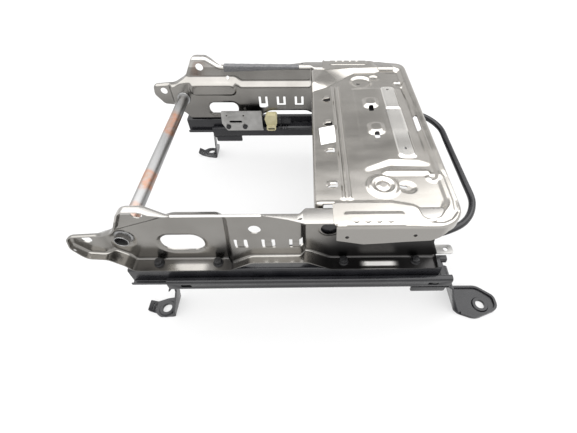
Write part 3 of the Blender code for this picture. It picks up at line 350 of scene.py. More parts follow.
def bumps(tree, shader, source, strength, height):
    """A fine relief from a texture."""
    bump = tree.nodes.new("ShaderNodeBump")
    bump.inputs["Strength"].default_value = strength
    bump.inputs["Distance"].default_value = height
    tree.links.new(source, bump.inputs["Height"])
    tree.links.new(bump.outputs["Normal"], shader.inputs["Normal"])


black_coat, tree, shader = surface("black_coat", (0.016, 0.016, 0.018), 0.3, 0.0)
shader.inputs["Specular IOR Level"].default_value = 0.42
mottled(tree, shader, 26, 4, (0.006, 0.006, 0.0075), (0.012, 0.012, 0.014))
uneven(tree, shader, 40, 3, 0.20, 0.30)
bumps(tree, shader, cloud(tree, 700, 2).outputs["Fac"], 0.05, 0.0002)

lower_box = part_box("lower_rail_right")
LOWER_REAR, LOWER_FRONT = lower_box[0].x, lower_box[1].x
RAIL_BOTTOM, LIP_TOP = lower_box[0].z, lower_box[1].z


def rail_bar(half_points, side, rear, front):
    """A rolled section along X, from the half at larger depth as (across, z, radius)."""
    other = [(-across, z, radius) for across, z, radius in reversed(half_points)]
    section = [(side * TRACK_DEPTH + across, z, radius) for across, z, radius in half_points + other]
    return slab(arcs(section, 4), 0, rear, front)


for side, word in SIDES.items():
    wall = LOWER_HALF - RAIL_SHEET
    lip = LIP_HALF + RAIL_SHEET
    channel = rail_bar([
        (LOWER_HALF, RAIL_BOTTOM, 0.0042),
        (LOWER_HALF, LIP_TOP, 0.0042),
        (LIP_HALF, LIP_TOP, 0.0036),
        (LIP_HALF, LIP_TOP - LIP_DROP, 0.0006),
        (lip, LIP_TOP - LIP_DROP, 0.0006),
        (lip, LIP_TOP - RAIL_SHEET, 0.0016),
        (wall, LIP_TOP - RAIL_SHEET, 0.0022),
        (wall, RAIL_BOTTOM + RAIL_SHEET, 0.0022),
    ], side, LOWER_REAR, LOWER_FRONT)
    rail = made(f"lower_channel_{word}", channel)
    notch_depth = side * (TRACK_DEPTH - (lip + wall) / 2)
    notches = slab(boxed(NOTCH_REAR, notch_depth, *NOTCH_SIZE, 0.001, 2), 2, LIP_TOP - 0.004, LIP_TOP + 0.004)
    first = notches.verts[:] + notches.edges[:] + notches.faces[:]
    for step in range(1, NOTCH_COUNT):
        copied = bmesh.ops.duplicate(notches, geom=first)["geom"]
        bmesh.ops.translate(notches, vec=(step * NOTCH_PITCH, 0, 0),
                            verts=[item for item in copied if isinstance(item, bmesh.types.BMVert)])
    cut_away(rail, notches)
    outer = side * (TRACK_DEPTH + LOWER_HALF)
    for x in (LOWER_REAR + WINDOW_INSET, LOWER_FRONT - WINDOW_INSET):
        window = boxed(x, RAIL_BOTTOM + WINDOW_RISE, *WINDOW_SIZE, 0.002, 3)
        cut_away(rail, slab(window, 1, outer - 0.004, outer + 0.004))
    finish_piece(rail, black_coat, f"lower_track_{word}", [f"lower_rail_{word}"], 0.0003)


# Floor feet
# Pressed from 3 mm plate and riveted under the lower rails: a sole with a raised ring round its
# floor bolt hole, a leg, and a pad under the rail with one edge turned down to stiffen it.

FOOT_SHEET = 0.003
FOOT_DEPTH = 0.228
SEAT_GAP = 0.0003
FOOT_SEAT = RAIL_BOTTOM - SEAT_GAP
BLANK_DEPTHS = (0.16, 0.29)
BLANK_STRIPS = 44
BOLT_HOLE = 0.0085


def folded_strip(line, thickness, radius, steps=6):
    """The closed outline of a bent strip, from the line (a, b) of its upper face."""
    corners = [(*point, 0.0 if index in (0, len(line) - 1) else radius) for index, point in enumerate(line)]
    closing = [(line[-1][0], line[-1][1] + 1, 0.0), (line[0][0], line[0][1] + 1, 0.0)]
    upper = arcs(corners + closing, steps)[:-2]
    under = []
    for index, point in enumerate(upper):
        before = upper[max(index - 1, 0)]
        after = upper[min(index + 1, len(upper) - 1)]
        along = (after - before).normalized()
        under.append(point + Vector((along.y, -along.x)) * thickness)
    return upper + under[::-1]


def foot_blank(line, radius, side, steps=7):
    """The bent strip of a foot, wide enough to be trimmed to its plan."""
    low, high = sorted(side * depth for depth in BLANK_DEPTHS)
    shape = slab(folded_strip(line, FOOT_SHEET, radius, steps), 1, low, high)
    for step in range(1, BLANK_STRIPS):
        bmesh.ops.bisect_plane(shape, geom=shape.verts[:] + shape.edges[:] + shape.faces[:], dist=0.00001,
                               plane_co=(0, low + (high - low) * step / BLANK_STRIPS, 0), plane_no=(0, 1, 0))
    return shape


def bolt_hole(foot, x, side):
    """Drills the floor bolt hole through a raised ring."""
    boss = bmesh.new()
    bmesh.ops.create_cone(boss, cap_ends=True, segments=40, radius1=0.0165, radius2=0.0135, depth=0.0045,
                          matrix=Matrix.Translation((x, side * FOOT_DEPTH, 0.00325)))
    cut_away(foot, boss, operation="UNION")
    cut_away(foot, slab(ring(x, side * FOOT_DEPTH, BOLT_HOLE), 2, -0.01, 0.02))


def turned_edge(foot, rear, front, level, depths):
    """Adds the edge of a foot's pad that is turned down to stiffen it."""
    outline = arcs([(rear, level, 0.003), (front, level, 0.003), (front, FOOT_SEAT - 0.001, 0.0),
                    (rear, FOOT_SEAT - 0.001, 0.0)], 4)
    cut_away(foot, slab(outline, 1, *sorted(depths)), operation="UNION")


def moved_out(points, distance):
    """A closed counter-clockwise outline with every side moved outwards."""
    moved = []
    for index, point in enumerate(points):
        before = (point - points[index - 1]).normalized()
        after = (points[(index + 1) % len(points)] - point).normalized()
        out = Vector((before.y + after.y, -before.x - after.x))
        moved.append(point + out * (2 * distance / out.length_squared))
    return moved


for side, word in SIDES.items():
    body = f"lower_track_{word}"

    # Rear foot
    line = ((-0.289, 0.011), (-0.2785, FOOT_SHEET), (-0.242, FOOT_SHEET), (-0.2315, FOOT_SEAT - 0.003),
            (-0.226, FOOT_SEAT), (-0.160, FOOT_SEAT))
    plan = arcs([(x, side * depth, radius) for x, depth, radius in (
        (-0.278, 0.236, 0.002), (-0.290, 0.235, 0.003), (-0.290, 0.215, 0.003), (-0.278, 0.214, 0.002),
        (-0.262, 0.208, 0.008), (-0.238, 0.204, 0.003), (-0.231, 0.196, 0.003), (-0.226, 0.187, 0.002),
        (-0.160, 0.187, 0.003), (-0.160, 0.226, 0.004), (-0.228, 0.226, 0.003), (-0.237, 0.243, 0.008),
        (-0.268, 0.244, 0.010))], 5)
    rear_foot = made(f"rear_foot_plate_{word}", foot_blank(line, 0.0035, side))
    cut_away(rear_foot, slab(plan, 2, -0.01, FOOT_SEAT + 0.002), operation="INTERSECT")
    taper = [Vector((side * depth, z)) for depth, z in ((0.252, 0.008), (0.252, 0.074), (0.214, 0.074),
                                                        (0.214, 0.040))]
    cut_away(rear_foot, slab(taper, 0, -0.243, -0.2285))
    bolt_hole(rear_foot, -0.258, side)
    for x in (-0.2835, -0.2795):
        cut_away(rear_foot, slab(boxed(x, side * 0.2255, 0.0014, 0.013, 0.0005, 2), 2, -0.01, 0.02))
    turned_edge(rear_foot, -0.222, -0.160, 0.068, (side * 0.187, side * 0.190))
    finish_piece(rear_foot, black_coat, body, [f"rear_foot_{word}"], 0.0004)

    # Front foot
    line = ((0.172, FOOT_SEAT), (0.238, FOOT_SEAT), (0.245, FOOT_SEAT - 0.005), (0.266, 0.010),
            (0.275, FOOT_SHEET), (0.3505, FOOT_SHEET))
    plan = arcs([(x, side * depth, radius) for x, depth, radius in (
        (0.172, 0.192, 0.004), (0.236, 0.192, 0.004), (0.262, 0.189, 0.010), (0.322, 0.190, 0.024),
        (0.350, 0.212, 0.014), (0.350, 0.238, 0.020), (0.302, 0.256, 0.026), (0.262, 0.240, 0.014),
        (0.236, 0.2345, 0.006), (0.172, 0.2345, 0.002))], 7)
    front_foot = made(f"front_foot_plate_{word}", foot_blank(line, 0.008, side))
    cut_away(front_foot, slab(plan, 2, -0.01, FOOT_SEAT + 0.002), operation="INTERSECT")
    sole = arcs([(x, side * depth, radius) for x, depth, radius in (
        (0.264, 0.1895, 0.010), (0.322, 0.190, 0.024), (0.350, 0.212, 0.014), (0.350, 0.238, 0.020),
        (0.302, 0.256, 0.026), (0.264, 0.241, 0.010))], 7)
    inner = moved_out(sole if side == LEFT else sole[::-1], -0.0042)
    rim = made("rim", slab(sole, 2, 0.001, 0.0066))
    cut_away(rim, slab(inner, 2, -0.01, 0.02))
    cut_away(rim, slab(boxed(0.318, side * 0.223, 0.080, 0.10, 0.004), 2, -0.01, 0.02), operation="INTERSECT")
    cut_away(front_foot, rim, operation="UNION")
    bolt_hole(front_foot, 0.319, side)
    turned_edge(front_foot, 0.1725, 0.230, 0.070, (side * 0.2315, side * 0.2345))
    finish_piece(front_foot, black_coat, body, [f"front_foot_{word}"], 0.0004)


# Foot rivets and ball cages
# Black steel rivets with round heads hold the feet to the rails. Inside each rail, steel balls run in
# strip cages. Most of both is hidden, and they keep the plain form of the solids.

def carry_over(nodes, finish_of):
    """Gives the solids that stay as they are a material."""
    for name in nodes:
        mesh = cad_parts[name].data
        mesh.materials.clear()
        mesh.materials.append(finish_of)
        mesh.shade_smooth()
        mesh.set_sharp_from_angle(angle=math.radians(35))


black_bolt, tree, shader = surface("black_bolt", (0.014, 0.014, 0.015), 0.42, 0.3)
uneven(tree, shader, 240, 3, 0.3, 0.55)
bumps(tree, shader, cloud(tree, 1400, 2).outputs["Fac"], 0.15, 0.0002)

cage_steel, tree, shader = surface("cage_steel", (0.35, 0.35, 0.36), 0.3, 1.0)
uneven(tree, shader, 300, 3, 0.22, 0.42)

for word in SIDES.values():
    carry_over([f"foot_rivet_{word}_{number}" for number in range(1, 5)], black_bolt)
    carry_over([f"ball_cage_{word}_{where}" for where in ("inner", "outer")], cage_steel)


# Upper slide rails
# A hat section rolled from the same strip runs inside each lower rail, with its turned-up edges held
# between the balls. Its flat top carries the side member. It has the same black dip coat.

UPPER_HALF = 0.012
HOOK_HALF = 0.0205
BALL_GAP = 0.006
LIFT_GAP = 0.007
upper_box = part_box("upper_rail_right")
UPPER_REAR, UPPER_FRONT = upper_box[0].x, upper_box[1].x
RAIL_TOP = upper_box[1].z

for side, word in SIDES.items():
    foot_level = RAIL_BOTTOM + RAIL_SHEET + BALL_GAP
    hook_top = LIP_TOP - RAIL_SHEET - LIFT_GAP
    hat = rail_bar([
        (UPPER_HALF - RAIL_SHEET, RAIL_TOP - RAIL_SHEET, 0.0018),
        (UPPER_HALF - RAIL_SHEET, foot_level, 0.0028),
        (HOOK_HALF, foot_level, 0.0028),
        (HOOK_HALF, hook_top, 0.0007),
        (HOOK_HALF - RAIL_SHEET, hook_top, 0.0007),
        (HOOK_HALF - RAIL_SHEET, foot_level + RAIL_SHEET, 0.0012),
        (UPPER_HALF, foot_level + RAIL_SHEET, 0.0012),
        (UPPER_HALF, RAIL_TOP, 0.0034),
    ], side, UPPER_REAR, UPPER_FRONT)
    finish_piece(made(f"upper_hat_{word}", hat), black_coat, "seat_frame",
                 [f"upper_rail_{word}"], 0.0003)


# Side members
# One deep pressing of 2 mm zinc-coated sheet on each side: a web with a turned-out flange round it,
# with zones that stand further out, and slots that the cushion's hooks grip. The bottom flange is
# bolted to the rail, and the rear ear takes the backrest.

MEMBER_SHEET = 0.002
WEB_DEPTH = 0.1984
FLANGE_BOTTOM = RAIL_TOP + SEAT_GAP
TOP_LEVEL = 0.2447
MEMBER_BEND = 0.0065
MEMBER_STEP = 0.002
RAISE = 0.010
TUBE_X, TUBE_Z = -0.277, 0.178
SLOT_LEVEL = {RIGHT: 0.164, LEFT: 0.151}
SLOT_HALF = {RIGHT: 0.019, LEFT: 0.0145}
SLOT_REAR, SLOT_FRONT = -0.2255, -0.1585
HOOK_PLACES = (-0.099, -0.058, -0.017)
HOOK_LEVEL = {RIGHT: 0.176, LEFT: 0.168}
HOOK_HEIGHT = {RIGHT: 0.010, LEFT: 0.013}
ARCH_REAR, ARCH_FRONT, ARCH_RISE = -0.122, 0.036, 0.020
FRONT_HOLE = (0.033, 0.199)
EAR_HOLES = ((-0.321, 0.190, 0.0075), (-0.229, 0.244, 0.008))

MEMBER_OUTLINE = (
    (-0.275, FLANGE_BOTTOM, 0.009),
    (ARCH_REAR, FLANGE_BOTTOM, 0.020),
    (ARCH_REAR + 0.036, FLANGE_BOTTOM + ARCH_RISE, 0.024),
    (ARCH_FRONT - 0.036, FLANGE_BOTTOM + ARCH_RISE, 0.024),
    (ARCH_FRONT, FLANGE_BOTTOM, 0.020),
    (0.214, FLANGE_BOTTOM, 0.0078),
    (0.197, 0.162, 0.016),
    (0.191, TOP_LEVEL, 0.0078),
    (-0.187, TOP_LEVEL, 0.022),
    (-0.214, 0.2635, 0.016),
    (-0.243, 0.2635, 0.015),
    (-0.266, 0.221, 0.030),
    (-0.293, 0.207, 0.030),
    (-0.343, 0.2035, 0.013),
    (-0.3467, 0.180, 0.012),
    (-0.330, 0.156, 0.012),
    (-0.303, 0.153, 0.018),
    (-0.283, 0.137, 0.016),
)


def spaced(points, longest):
    """A closed outline with points added, so that no side is longer than the given length."""
    dense = []
    for index, start in enumerate(points):
        end = points[(index + 1) % len(points)]
        pieces = max(1, math.ceil((end - start).length / longest))
        dense += [start.lerp(end, step / pieces) for step in range(pieces)]
    return dense


def away(a, b, line):
    """How far each point lies from an open line."""
    nearest = np.full(a.shape, np.inf)
    for start, end in zip(line, line[1:]):
        run, rise = end[0] - start[0], end[1] - start[1]
        share = np.clip(((a - start[0]) * run + (b - start[1]) * rise) / (run * run + rise * rise), 0, 1)
        nearest = np.minimum(nearest, np.hypot(a - start[0] - share * run, b - start[1] - share * rise))
    return nearest


def within(a, b, outline):
    """How far inside an outline each point lies. It is negative outside."""
    inside = np.zeros(a.shape, bool)
    for index, end in enumerate(outline):
        start = outline[index - 1]
        if end[1] != start[1]:
            crosses = (start[1] > b) != (end[1] > b)
            inside ^= crosses & (a < (end[0] - start[0]) * (b - start[1]) / (end[1] - start[1]) + start[0])
    nearest = away(a, b, [*outline, outline[0]])
    return np.where(inside, nearest, -nearest)


def ramp(distance, width):
    """From 0 to 1 over a width, level at both ends, as pressed sheet bends."""
    return (1 - np.cos(np.pi * np.clip(distance / width, 0, 1))) / 2


def place_along(point, outline):
    """The side of an outline that a point lies on, and its share of the way along that side."""
    nearest = None
    for index, end in enumerate(outline):
        start = outline[index - 1]
        side = end - start
        share = min(max((point - start).dot(side) / side.length_squared, 0), 1)
        gap = (start.lerp(end, share) - point).length
        if nearest is None or gap < nearest[0]:
            nearest = (gap, index, share)
    return nearest[1:]


def border_of(shape):
    """The vertices round the edge of a flat bmesh, counter-clockwise."""
    edge = next(edge for edge in shape.edges if edge.is_boundary)
    loop = [edge.verts[0]]
    vertex = edge.verts[1]
    while vertex is not loop[0]:
        loop.append(vertex)
        edge = next(other for other in vertex.link_edges if other.is_boundary and other is not edge)
        vertex = edge.other_vert(vertex)
    area = sum(loop[i - 1].co.x * v.co.y - v.co.x * loop[i - 1].co.y for i, v in enumerate(loop))
    return loop if area > 0 else loop[::-1]


def pressed_tray(outline, bend, spacing, rim, folded, steps=6):
    """A sheet in a grid of small faces whose border turns through a bend into a wall.

    Points are (a, b, height): the sheet is level at height 0 and the wall's edge is at rim(a, b).
    Where folded(a, b) is 0 the sheet runs flat to the outline.
    """
    shape = bmesh.new()
    order = shape.verts.layers.int.new("order")
    follows = shape.verts.layers.float.new("follows")
    outline = spaced(outline, spacing)
    inner = moved_out(outline, -bend)
    filled(shape, [(*point, 0) for point in inner])
    spans = []
    for axis in (0, 1):
        low, high = min(point[axis] for point in inner), max(point[axis] for point in inner)
        spans.append((high - low, axis, low))
    for length, axis, low in sorted(spans, reverse=True):
        across = Vector((1, 0, 0)) if axis == 0 else Vector((0, 1, 0))
        for step in range(1, math.ceil(length / spacing)):
            bmesh.ops.bisect_plane(shape, geom=shape.verts[:] + shape.edges[:] + shape.faces[:], dist=0.00003,
                                   plane_co=across * (low + step * spacing), plane_no=across)
    loop = border_of(shape)
    places = [place_along(vertex.co.xy, inner) for vertex in loop]
    for vertex in shape.verts:
        vertex[follows] = 1.0
    for index, vertex in enumerate(loop):
        vertex[order] = index
    edges = [edge for edge in shape.edges if edge.is_boundary]
    for step in range(1, steps + 2):
        angle = math.pi / 2 * min(step / steps, 1)
        out = moved_out(outline, bend * (math.sin(angle) - 1))
        grown = bmesh.ops.extrude_edge_only(shape, edges=edges)["geom"]
        for vertex in (item for item in grown if isinstance(item, bmesh.types.BMVert)):
            index, share = places[vertex[order]]
            a, b = out[index - 1].lerp(out[index], share)
            lift = bend * (1 - math.cos(angle))
            if step > steps:
                lift = rim(a, b)
                vertex[follows] = 1 - folded(a, b)
            vertex.co = (a, b, lift * folded(a, b))
        edges = [item for item in grown if isinstance(item, bmesh.types.BMEdge) and item.is_boundary]
    bmesh.ops.remove_doubles(shape, verts=shape.verts, dist=0.00006)
    return shape


def pierce(shape, outline, axes=(0, 1), where=lambda centre: True):
    """Cuts a convex counter-clockwise outline out of the faces that it reaches, in two of the axes."""
    u, v = axes
    low = (min(point[0] for point in outline), min(point[1] for point in outline))
    high = (max(point[0] for point in outline), max(point[1] for point in outline))

    def touched(face):
        us = [vertex.co[u] for vertex in face.verts]
        vs = [vertex.co[v] for vertex in face.verts]
        reaches = min(us) < high[0] and max(us) > low[0] and min(vs) < high[1] and max(vs) > low[1]
        return reaches and where(face.calc_center_median())

    faces = {face for face in shape.faces if touched(face)}
    sides = []
    for index, end in enumerate(outline):
        start = outline[index - 1]
        place, out = [0.0, 0.0, 0.0], [0.0, 0.0, 0.0]
        place[u], place[v] = start
        out[u], out[v] = end[1] - start[1], start[0] - end[0]
        sides.append((Vector(place), Vector(out).normalized()))
        corners = {vertex for face in faces for vertex in face.verts}
        geometry = list({item for face in faces for item in (*face.verts, *face.edges, face)})
        cut = bmesh.ops.bisect_plane(shape, geom=geometry, dist=0.00002, plane_co=place,
                                     plane_no=sides[-1][1])["geom_cut"]
        corners.update(item for item in cut if isinstance(item, bmesh.types.BMVert))
        faces = {face for vertex in corners for face in vertex.link_faces if touched(face)}
    gone = []
    for face in faces:
        centre = face.calc_center_median()
        if all((centre - place).dot(out) < 0 for place, out in sides):
            gone.append(face)
    bmesh.ops.delete(shape, geom=gone, context="FACES")


def sheet_piece(name, shape, form, put, thickness):
    """Presses the form into a tray, puts it in its place and gives it its thickness inside."""
    follows = shape.verts.layers.float["follows"]
    flat = np.array([vertex.co for vertex in shape.verts])
    for vertex, lift in zip(shape.verts, form(flat[:, 0], flat[:, 1])):
        vertex.co.z += lift * vertex[follows]
    outside = (put(0, 0, -1) - put(0, 0, 0)).normalized()
    for vertex in shape.verts:
        vertex.co = put(*vertex.co)
    bmesh.ops.recalc_face_normals(shape, faces=shape.faces)
    shape.normal_update()
    if sum(face.normal.dot(outside) * face.calc_area() for face in shape.faces) < 0:
        bmesh.ops.reverse_faces(shape, faces=shape.faces)
    thing = made(name, shape)
    wall = thing.modifiers.new("thickness", "SOLIDIFY")
    wall.thickness = thickness
    wall.offset = -1
    return applied(thing)


EDGE_X = (-0.40, -0.205, -0.182, -0.062, -0.026, -0.002, 0.160, 0.200)
EDGE_DEPTH = (0.224, 0.224, 0.2145, 0.2145, 0.222, 0.2295, 0.2295, 0.216)


def member_rim(x, z):
    """How far the edge of the flange stands out from the web."""
    depth = np.interp(x, EDGE_X, EDGE_DEPTH) if z > 0.205 else 0.224
    narrow = np.interp(x, (-0.300, -0.262), (0.0065, 0.0)) * np.interp(z, (0.165, 0.195), (0.3, 1.0))
    return depth - narrow - WEB_DEPTH


def member_folded(x, z):
    """0 along the front edge, which has no flange, and 1 elsewhere."""
    return 0.0 if x > 0.185 and FLANGE_BOTTOM + 0.004 < z < TOP_LEVEL - 0.004 else 1.0


RIGHT_EAR = arcs([(-0.42, 0.09, 0), (-0.297, 0.09, 0), (-0.297, 0.194, 0.008), (-0.272, 0.202, 0.02),
                  (-0.213, 0.222, 0.03), (-0.185, 0.234, 0.02), (-0.119, 0.234, 0.008), (-0.131, 0.09, 0),
                  (-0.003, 0.09, 0), (0.001, 0.33, 0), (-0.42, 0.33, 0)], 4)
LEFT_EAR = arcs([(-0.42, 0.09, 0), (-0.297, 0.09, 0), (-0.297, 0.203, 0.008), (-0.288, 0.212, 0.01),
                 (-0.160, 0.212, 0.008), (-0.146, 0.202, 0.008), (0.008, 0.202, 0.008), (0.020, 0.212, 0.008),
                 (0.020, 0.33, 0), (-0.42, 0.33, 0)], 4)
LEFT_BEAD = boxed(-0.207, 0.2000, 0.108, 0.034, 0.015)


def member_slot(side, steps=4):
    """The outline of the long slot in a member's web."""
    half = SLOT_HALF[side]
    return boxed((SLOT_REAR + SLOT_FRONT) / 2, SLOT_LEVEL[side], SLOT_FRONT - SLOT_REAR, 2 * half,
                 half - 0.001, steps)


def right_form(x, z):
    """How far each point of the right member's web stands out."""
    lift = RAISE * ramp(within(x, z, RIGHT_EAR), 0.0115)
    lift -= 0.0026 * ramp(0.0062 + within(x, z, member_slot(RIGHT)), 0.0058)
    lift -= 0.0042 * ramp(0.0205 - np.hypot(x - TUBE_X, z - TUBE_Z), 0.008)
    for middle in HOOK_PLACES:
        near = np.abs(x - middle) < 0.0053
        lift += 0.003 * ramp(0.0075 - np.abs(z - HOOK_LEVEL[RIGHT]), 0.004) * near
    lift += 0.0016 * ramp(0.018 - np.hypot(x - FRONT_HOLE[0], z - FRONT_HOLE[1]), 0.004)
    return lift


def left_form(x, z):
    """How far each point of the left member's web stands out."""
    lift = RAISE * ramp(within(x, z, LEFT_EAR), 0.013)
    lift -= 0.006 * ramp(within(x, z, LEFT_BEAD), 0.008)
    lift += 0.0022 * ramp(0.0052 + within(x, z, member_slot(LEFT)), 0.005)
    lift += 0.0016 * ramp(0.018 - np.hypot(x - FRONT_HOLE[0], z - FRONT_HOLE[1]), 0.004)
    return lift


def pressed_steel(name, light, dark, rough_low, rough_high):
    """Zinc-coated sheet: faint clouds of grey, drawn streaks and a fine skin-pass texture."""
    made_of, tree, shader = surface(name, light, rough_low, 1.0)
    tone = spread(tree, cloud(tree, 14, 4).outputs["Fac"], 0, 1, 0.3, 0.7)
    tree.links.new(blended(tree, tone, light, dark), shader.inputs["Base Color"])
    streaks = cloud(tree, 40, 3, (0.25, 1, 1))
    drawn_streaks_and_skirt_shade = spread(tree, streaks.outputs["Fac"], rough_low, rough_high, 0.3, 0.7)
    tree.links.new(drawn_streaks_and_skirt_shade, shader.inputs["Roughness"])
    bumps(tree, shader, cloud(tree, 350, 3).outputs["Fac"], 0.035, 0.0003)
    return made_of


def summed(tree, source, factor, added=0.0):
    """The source times a factor, plus a number. Each can be a number or an output."""
    node = tree.nodes.new("ShaderNodeMath")
    node.operation = "MULTIPLY_ADD"
    for socket, value in zip(node.inputs, (source, factor, added)):
        if isinstance(value, (int, float)):
            socket.default_value = value
        else:
            tree.links.new(value, socket)
    return node.outputs[0]


def eased(tree, source, start, end, top=1.0):
    """0 at the start of a range and the top value at its end, with soft ends."""
    node = tree.nodes.new("ShaderNodeMapRange")
    node.interpolation_type = "SMOOTHSTEP"
    node.inputs["From Min"].default_value = start
    node.inputs["From Max"].default_value = end
    node.inputs["To Max"].default_value = top
    tree.links.new(source, node.inputs["Value"])
    return node.outputs["Result"]


def gap_from(tree, source, middle=0.0):
    """How far one coordinate is from a place."""
    node = tree.nodes.new("ShaderNodeMath")
    node.operation = "ABSOLUTE"
    tree.links.new(summed(tree, source, 1.0, -middle), node.inputs[0])
    return node.outputs[0]


def place_parts(tree):
    """The three coordinates of a point on the object."""
    place = tree.nodes.new("ShaderNodeTexCoord")
    part_of = tree.nodes.new("ShaderNodeSeparateXYZ")
    tree.links.new(place.outputs["Object"], part_of.inputs[0])
    return part_of.outputs


def tinted(tree, share, colour):
    """Lays another colour over the surface where the share is 1."""
    base = tree.nodes["Principled BSDF"].inputs["Base Color"]
    mix = tree.nodes.new("ShaderNodeMix")
    mix.data_type = "RGBA"
    tree.links.new(share, mix.inputs["Factor"])
    tree.links.new(base.links[0].from_socket, mix.inputs["A"])
    mix.inputs["B"].default_value = (*colour, 1)
    tree.links.new(mix.outputs["Result"], base)


bare_steel = pressed_steel("bare_steel", (0.285, 0.275, 0.259), (0.232, 0.222, 0.207), 0.17, 0.26)

# Painted shade darkens the members' front ends below the pan, the rear part of the bottom flanges, the low
# part of the left member and the step behind the slot, with a duller gloss. The rear pads are left out of it.
# The front pads between the bolts carry a painted highlight, a pale matt patch, and the top flanges a lighter
# one.
tree = bare_steel.node_tree
shader = tree.nodes["Principled BSDF"]
along, across_seat, height = place_parts(tree)
PAD_LEVEL = FLANGE_BOTTOM + MEMBER_SHEET + 0.001
flange = eased(tree, height, PAD_LEVEL + 0.004, PAD_LEVEL)
out = gap_from(tree, across_seat)
outer_half = eased(tree, out, 0.2095, 0.2140)
front_pad = summed(tree, eased(tree, gap_from(tree, along, 0.115), 0.034, 0.018),
                   summed(tree, flange, eased(tree, out, 0.2065, 0.2100)))
rear_pad = summed(tree, eased(tree, gap_from(tree, along, -0.190), 0.036, 0.022), outer_half)
# Painted shade on the members' front ends, darker towards the front and the bottom.
front = summed(tree, eased(tree, summed(tree, height, -0.55, along), -0.100, -0.034, 0.90),
               eased(tree, height, 0.222, 0.200))
# Painted shade on the rear part of the bottom flanges, on the step behind the slot and low on the left
# member.
rear = summed(tree, eased(tree, along, -0.105, -0.125, 0.62), flange)
step_shade = summed(tree, eased(tree, gap_from(tree, along, -0.120), 0.026, 0.004, 0.75),
                summed(tree, eased(tree, height, 0.185, 0.142), eased(tree, height, 0.122, 0.132)))
low_left_shade = summed(tree, eased(tree, across_seat, 0.10, 0.15, 0.35), eased(tree, height, 0.205, 0.150), step_shade)
rear_and_low_shade = summed(tree, rear, summed(tree, rear_pad, -1.0, 1.0), low_left_shade)
painted_shade = summed(tree, front, summed(tree, front_pad, -0.95, 1.0), rear_and_low_shade)
# Painted highlight: a pale, less metallic patch on the outer part of the front pads.
painted_pad_highlight = summed(tree, front_pad, eased(tree, gap_from(tree, out, 0.2145), 0.0060, 0.0025))
# Painted highlight: the top flanges are painted lighter.
tinted(tree, eased(tree, height, TOP_LEVEL - 0.0015, TOP_LEVEL), (0.46, 0.445, 0.425))
# The painted shade: near black wherever these masks reach.
tinted(tree, painted_shade, (0.018, 0.0175, 0.019))
tinted(tree, painted_pad_highlight, (0.70, 0.685, 0.66))
tree.links.new(summed(tree, painted_pad_highlight, -0.9, 1.0), shader.inputs["Metallic"])
dull = tree.nodes.new("ShaderNodeMix")
tree.links.new(painted_shade, dull.inputs["Factor"])
tree.links.new(shader.inputs["Roughness"].links[0].from_socket, dull.inputs["A"])
dull.inputs["B"].default_value = 0.34
tree.links.new(dull.outputs["Result"], shader.inputs["Roughness"])

for side, word in SIDES.items():
    tray = pressed_tray(arcs(MEMBER_OUTLINE, 12), MEMBER_BEND, MEMBER_STEP, member_rim, member_folded)
    web = lambda centre: centre.z < 0.0005
    for x, z, radius in (*EAR_HOLES, (TUBE_X, TUBE_Z, 0.0114)):
        pierce(tray, ring(x, z, radius), where=web)
    pierce(tray, member_slot(side, 14), where=web)
    pierce(tray, ring(*FRONT_HOLE, 0.013), where=web)
    short = 0.0025 if side == LEFT else 0.0
    leg_level, leg_length = HOOK_LEVEL[side] + short, 2 * (HOOK_HEIGHT[side] - short)
    foot_level = HOOK_LEVEL[side] - HOOK_HEIGHT[side] + 0.0035
    for middle in HOOK_PLACES:
        for shift in (-0.0075, 0.0075):
            pierce(tray, boxed(middle + shift, leg_level, 0.005, leg_length, 0.0012, 2), where=web)
        if side == LEFT:
            pierce(tray, boxed(middle, foot_level, 0.0200, 0.011, 0.0045, 3), where=web)
    if side == RIGHT:
        pierce(tray, ring(-0.075, 0.209, 0.009), where=web)
    else:
        pierce(tray, ring(-0.172, 0.222, 0.003, 14), where=web)
    on_ear_rim = lambda centre: centre.x < -0.335 and centre.z > 0.0085
    pierce(tray, ring(0.1745, 0.0158, 0.0025, 14), axes=(1, 2), where=on_ear_rim)
    on_top = lambda centre: centre.y > TOP_LEVEL - 0.001 and centre.z > 0.006
    pierce(tray, ring(-0.009, 0.218 - WEB_DEPTH, 0.003, 14), axes=(0, 2), where=on_top)
    put = lambda a, b, c, side=side: Vector((a, side * (WEB_DEPTH + c), b))
    form = right_form if side == RIGHT else left_form
    member = sheet_piece(f"member_pressing_{word}", tray, form, put, MEMBER_SHEET)
    finish_piece(member, bare_steel, "seat_frame", [f"side_member_{word}"], sharp=38)


# Frame bolts
# Eight black M8 flange bolts screw down through the members' bottom flanges into nuts welded under
# the top of the upper rails.

BOLT_PLACES = (-0.237, -0.143, 0.058, 0.174)
BOLT_SEAT = FLANGE_BOTTOM + MEMBER_SHEET + SEAT_GAP

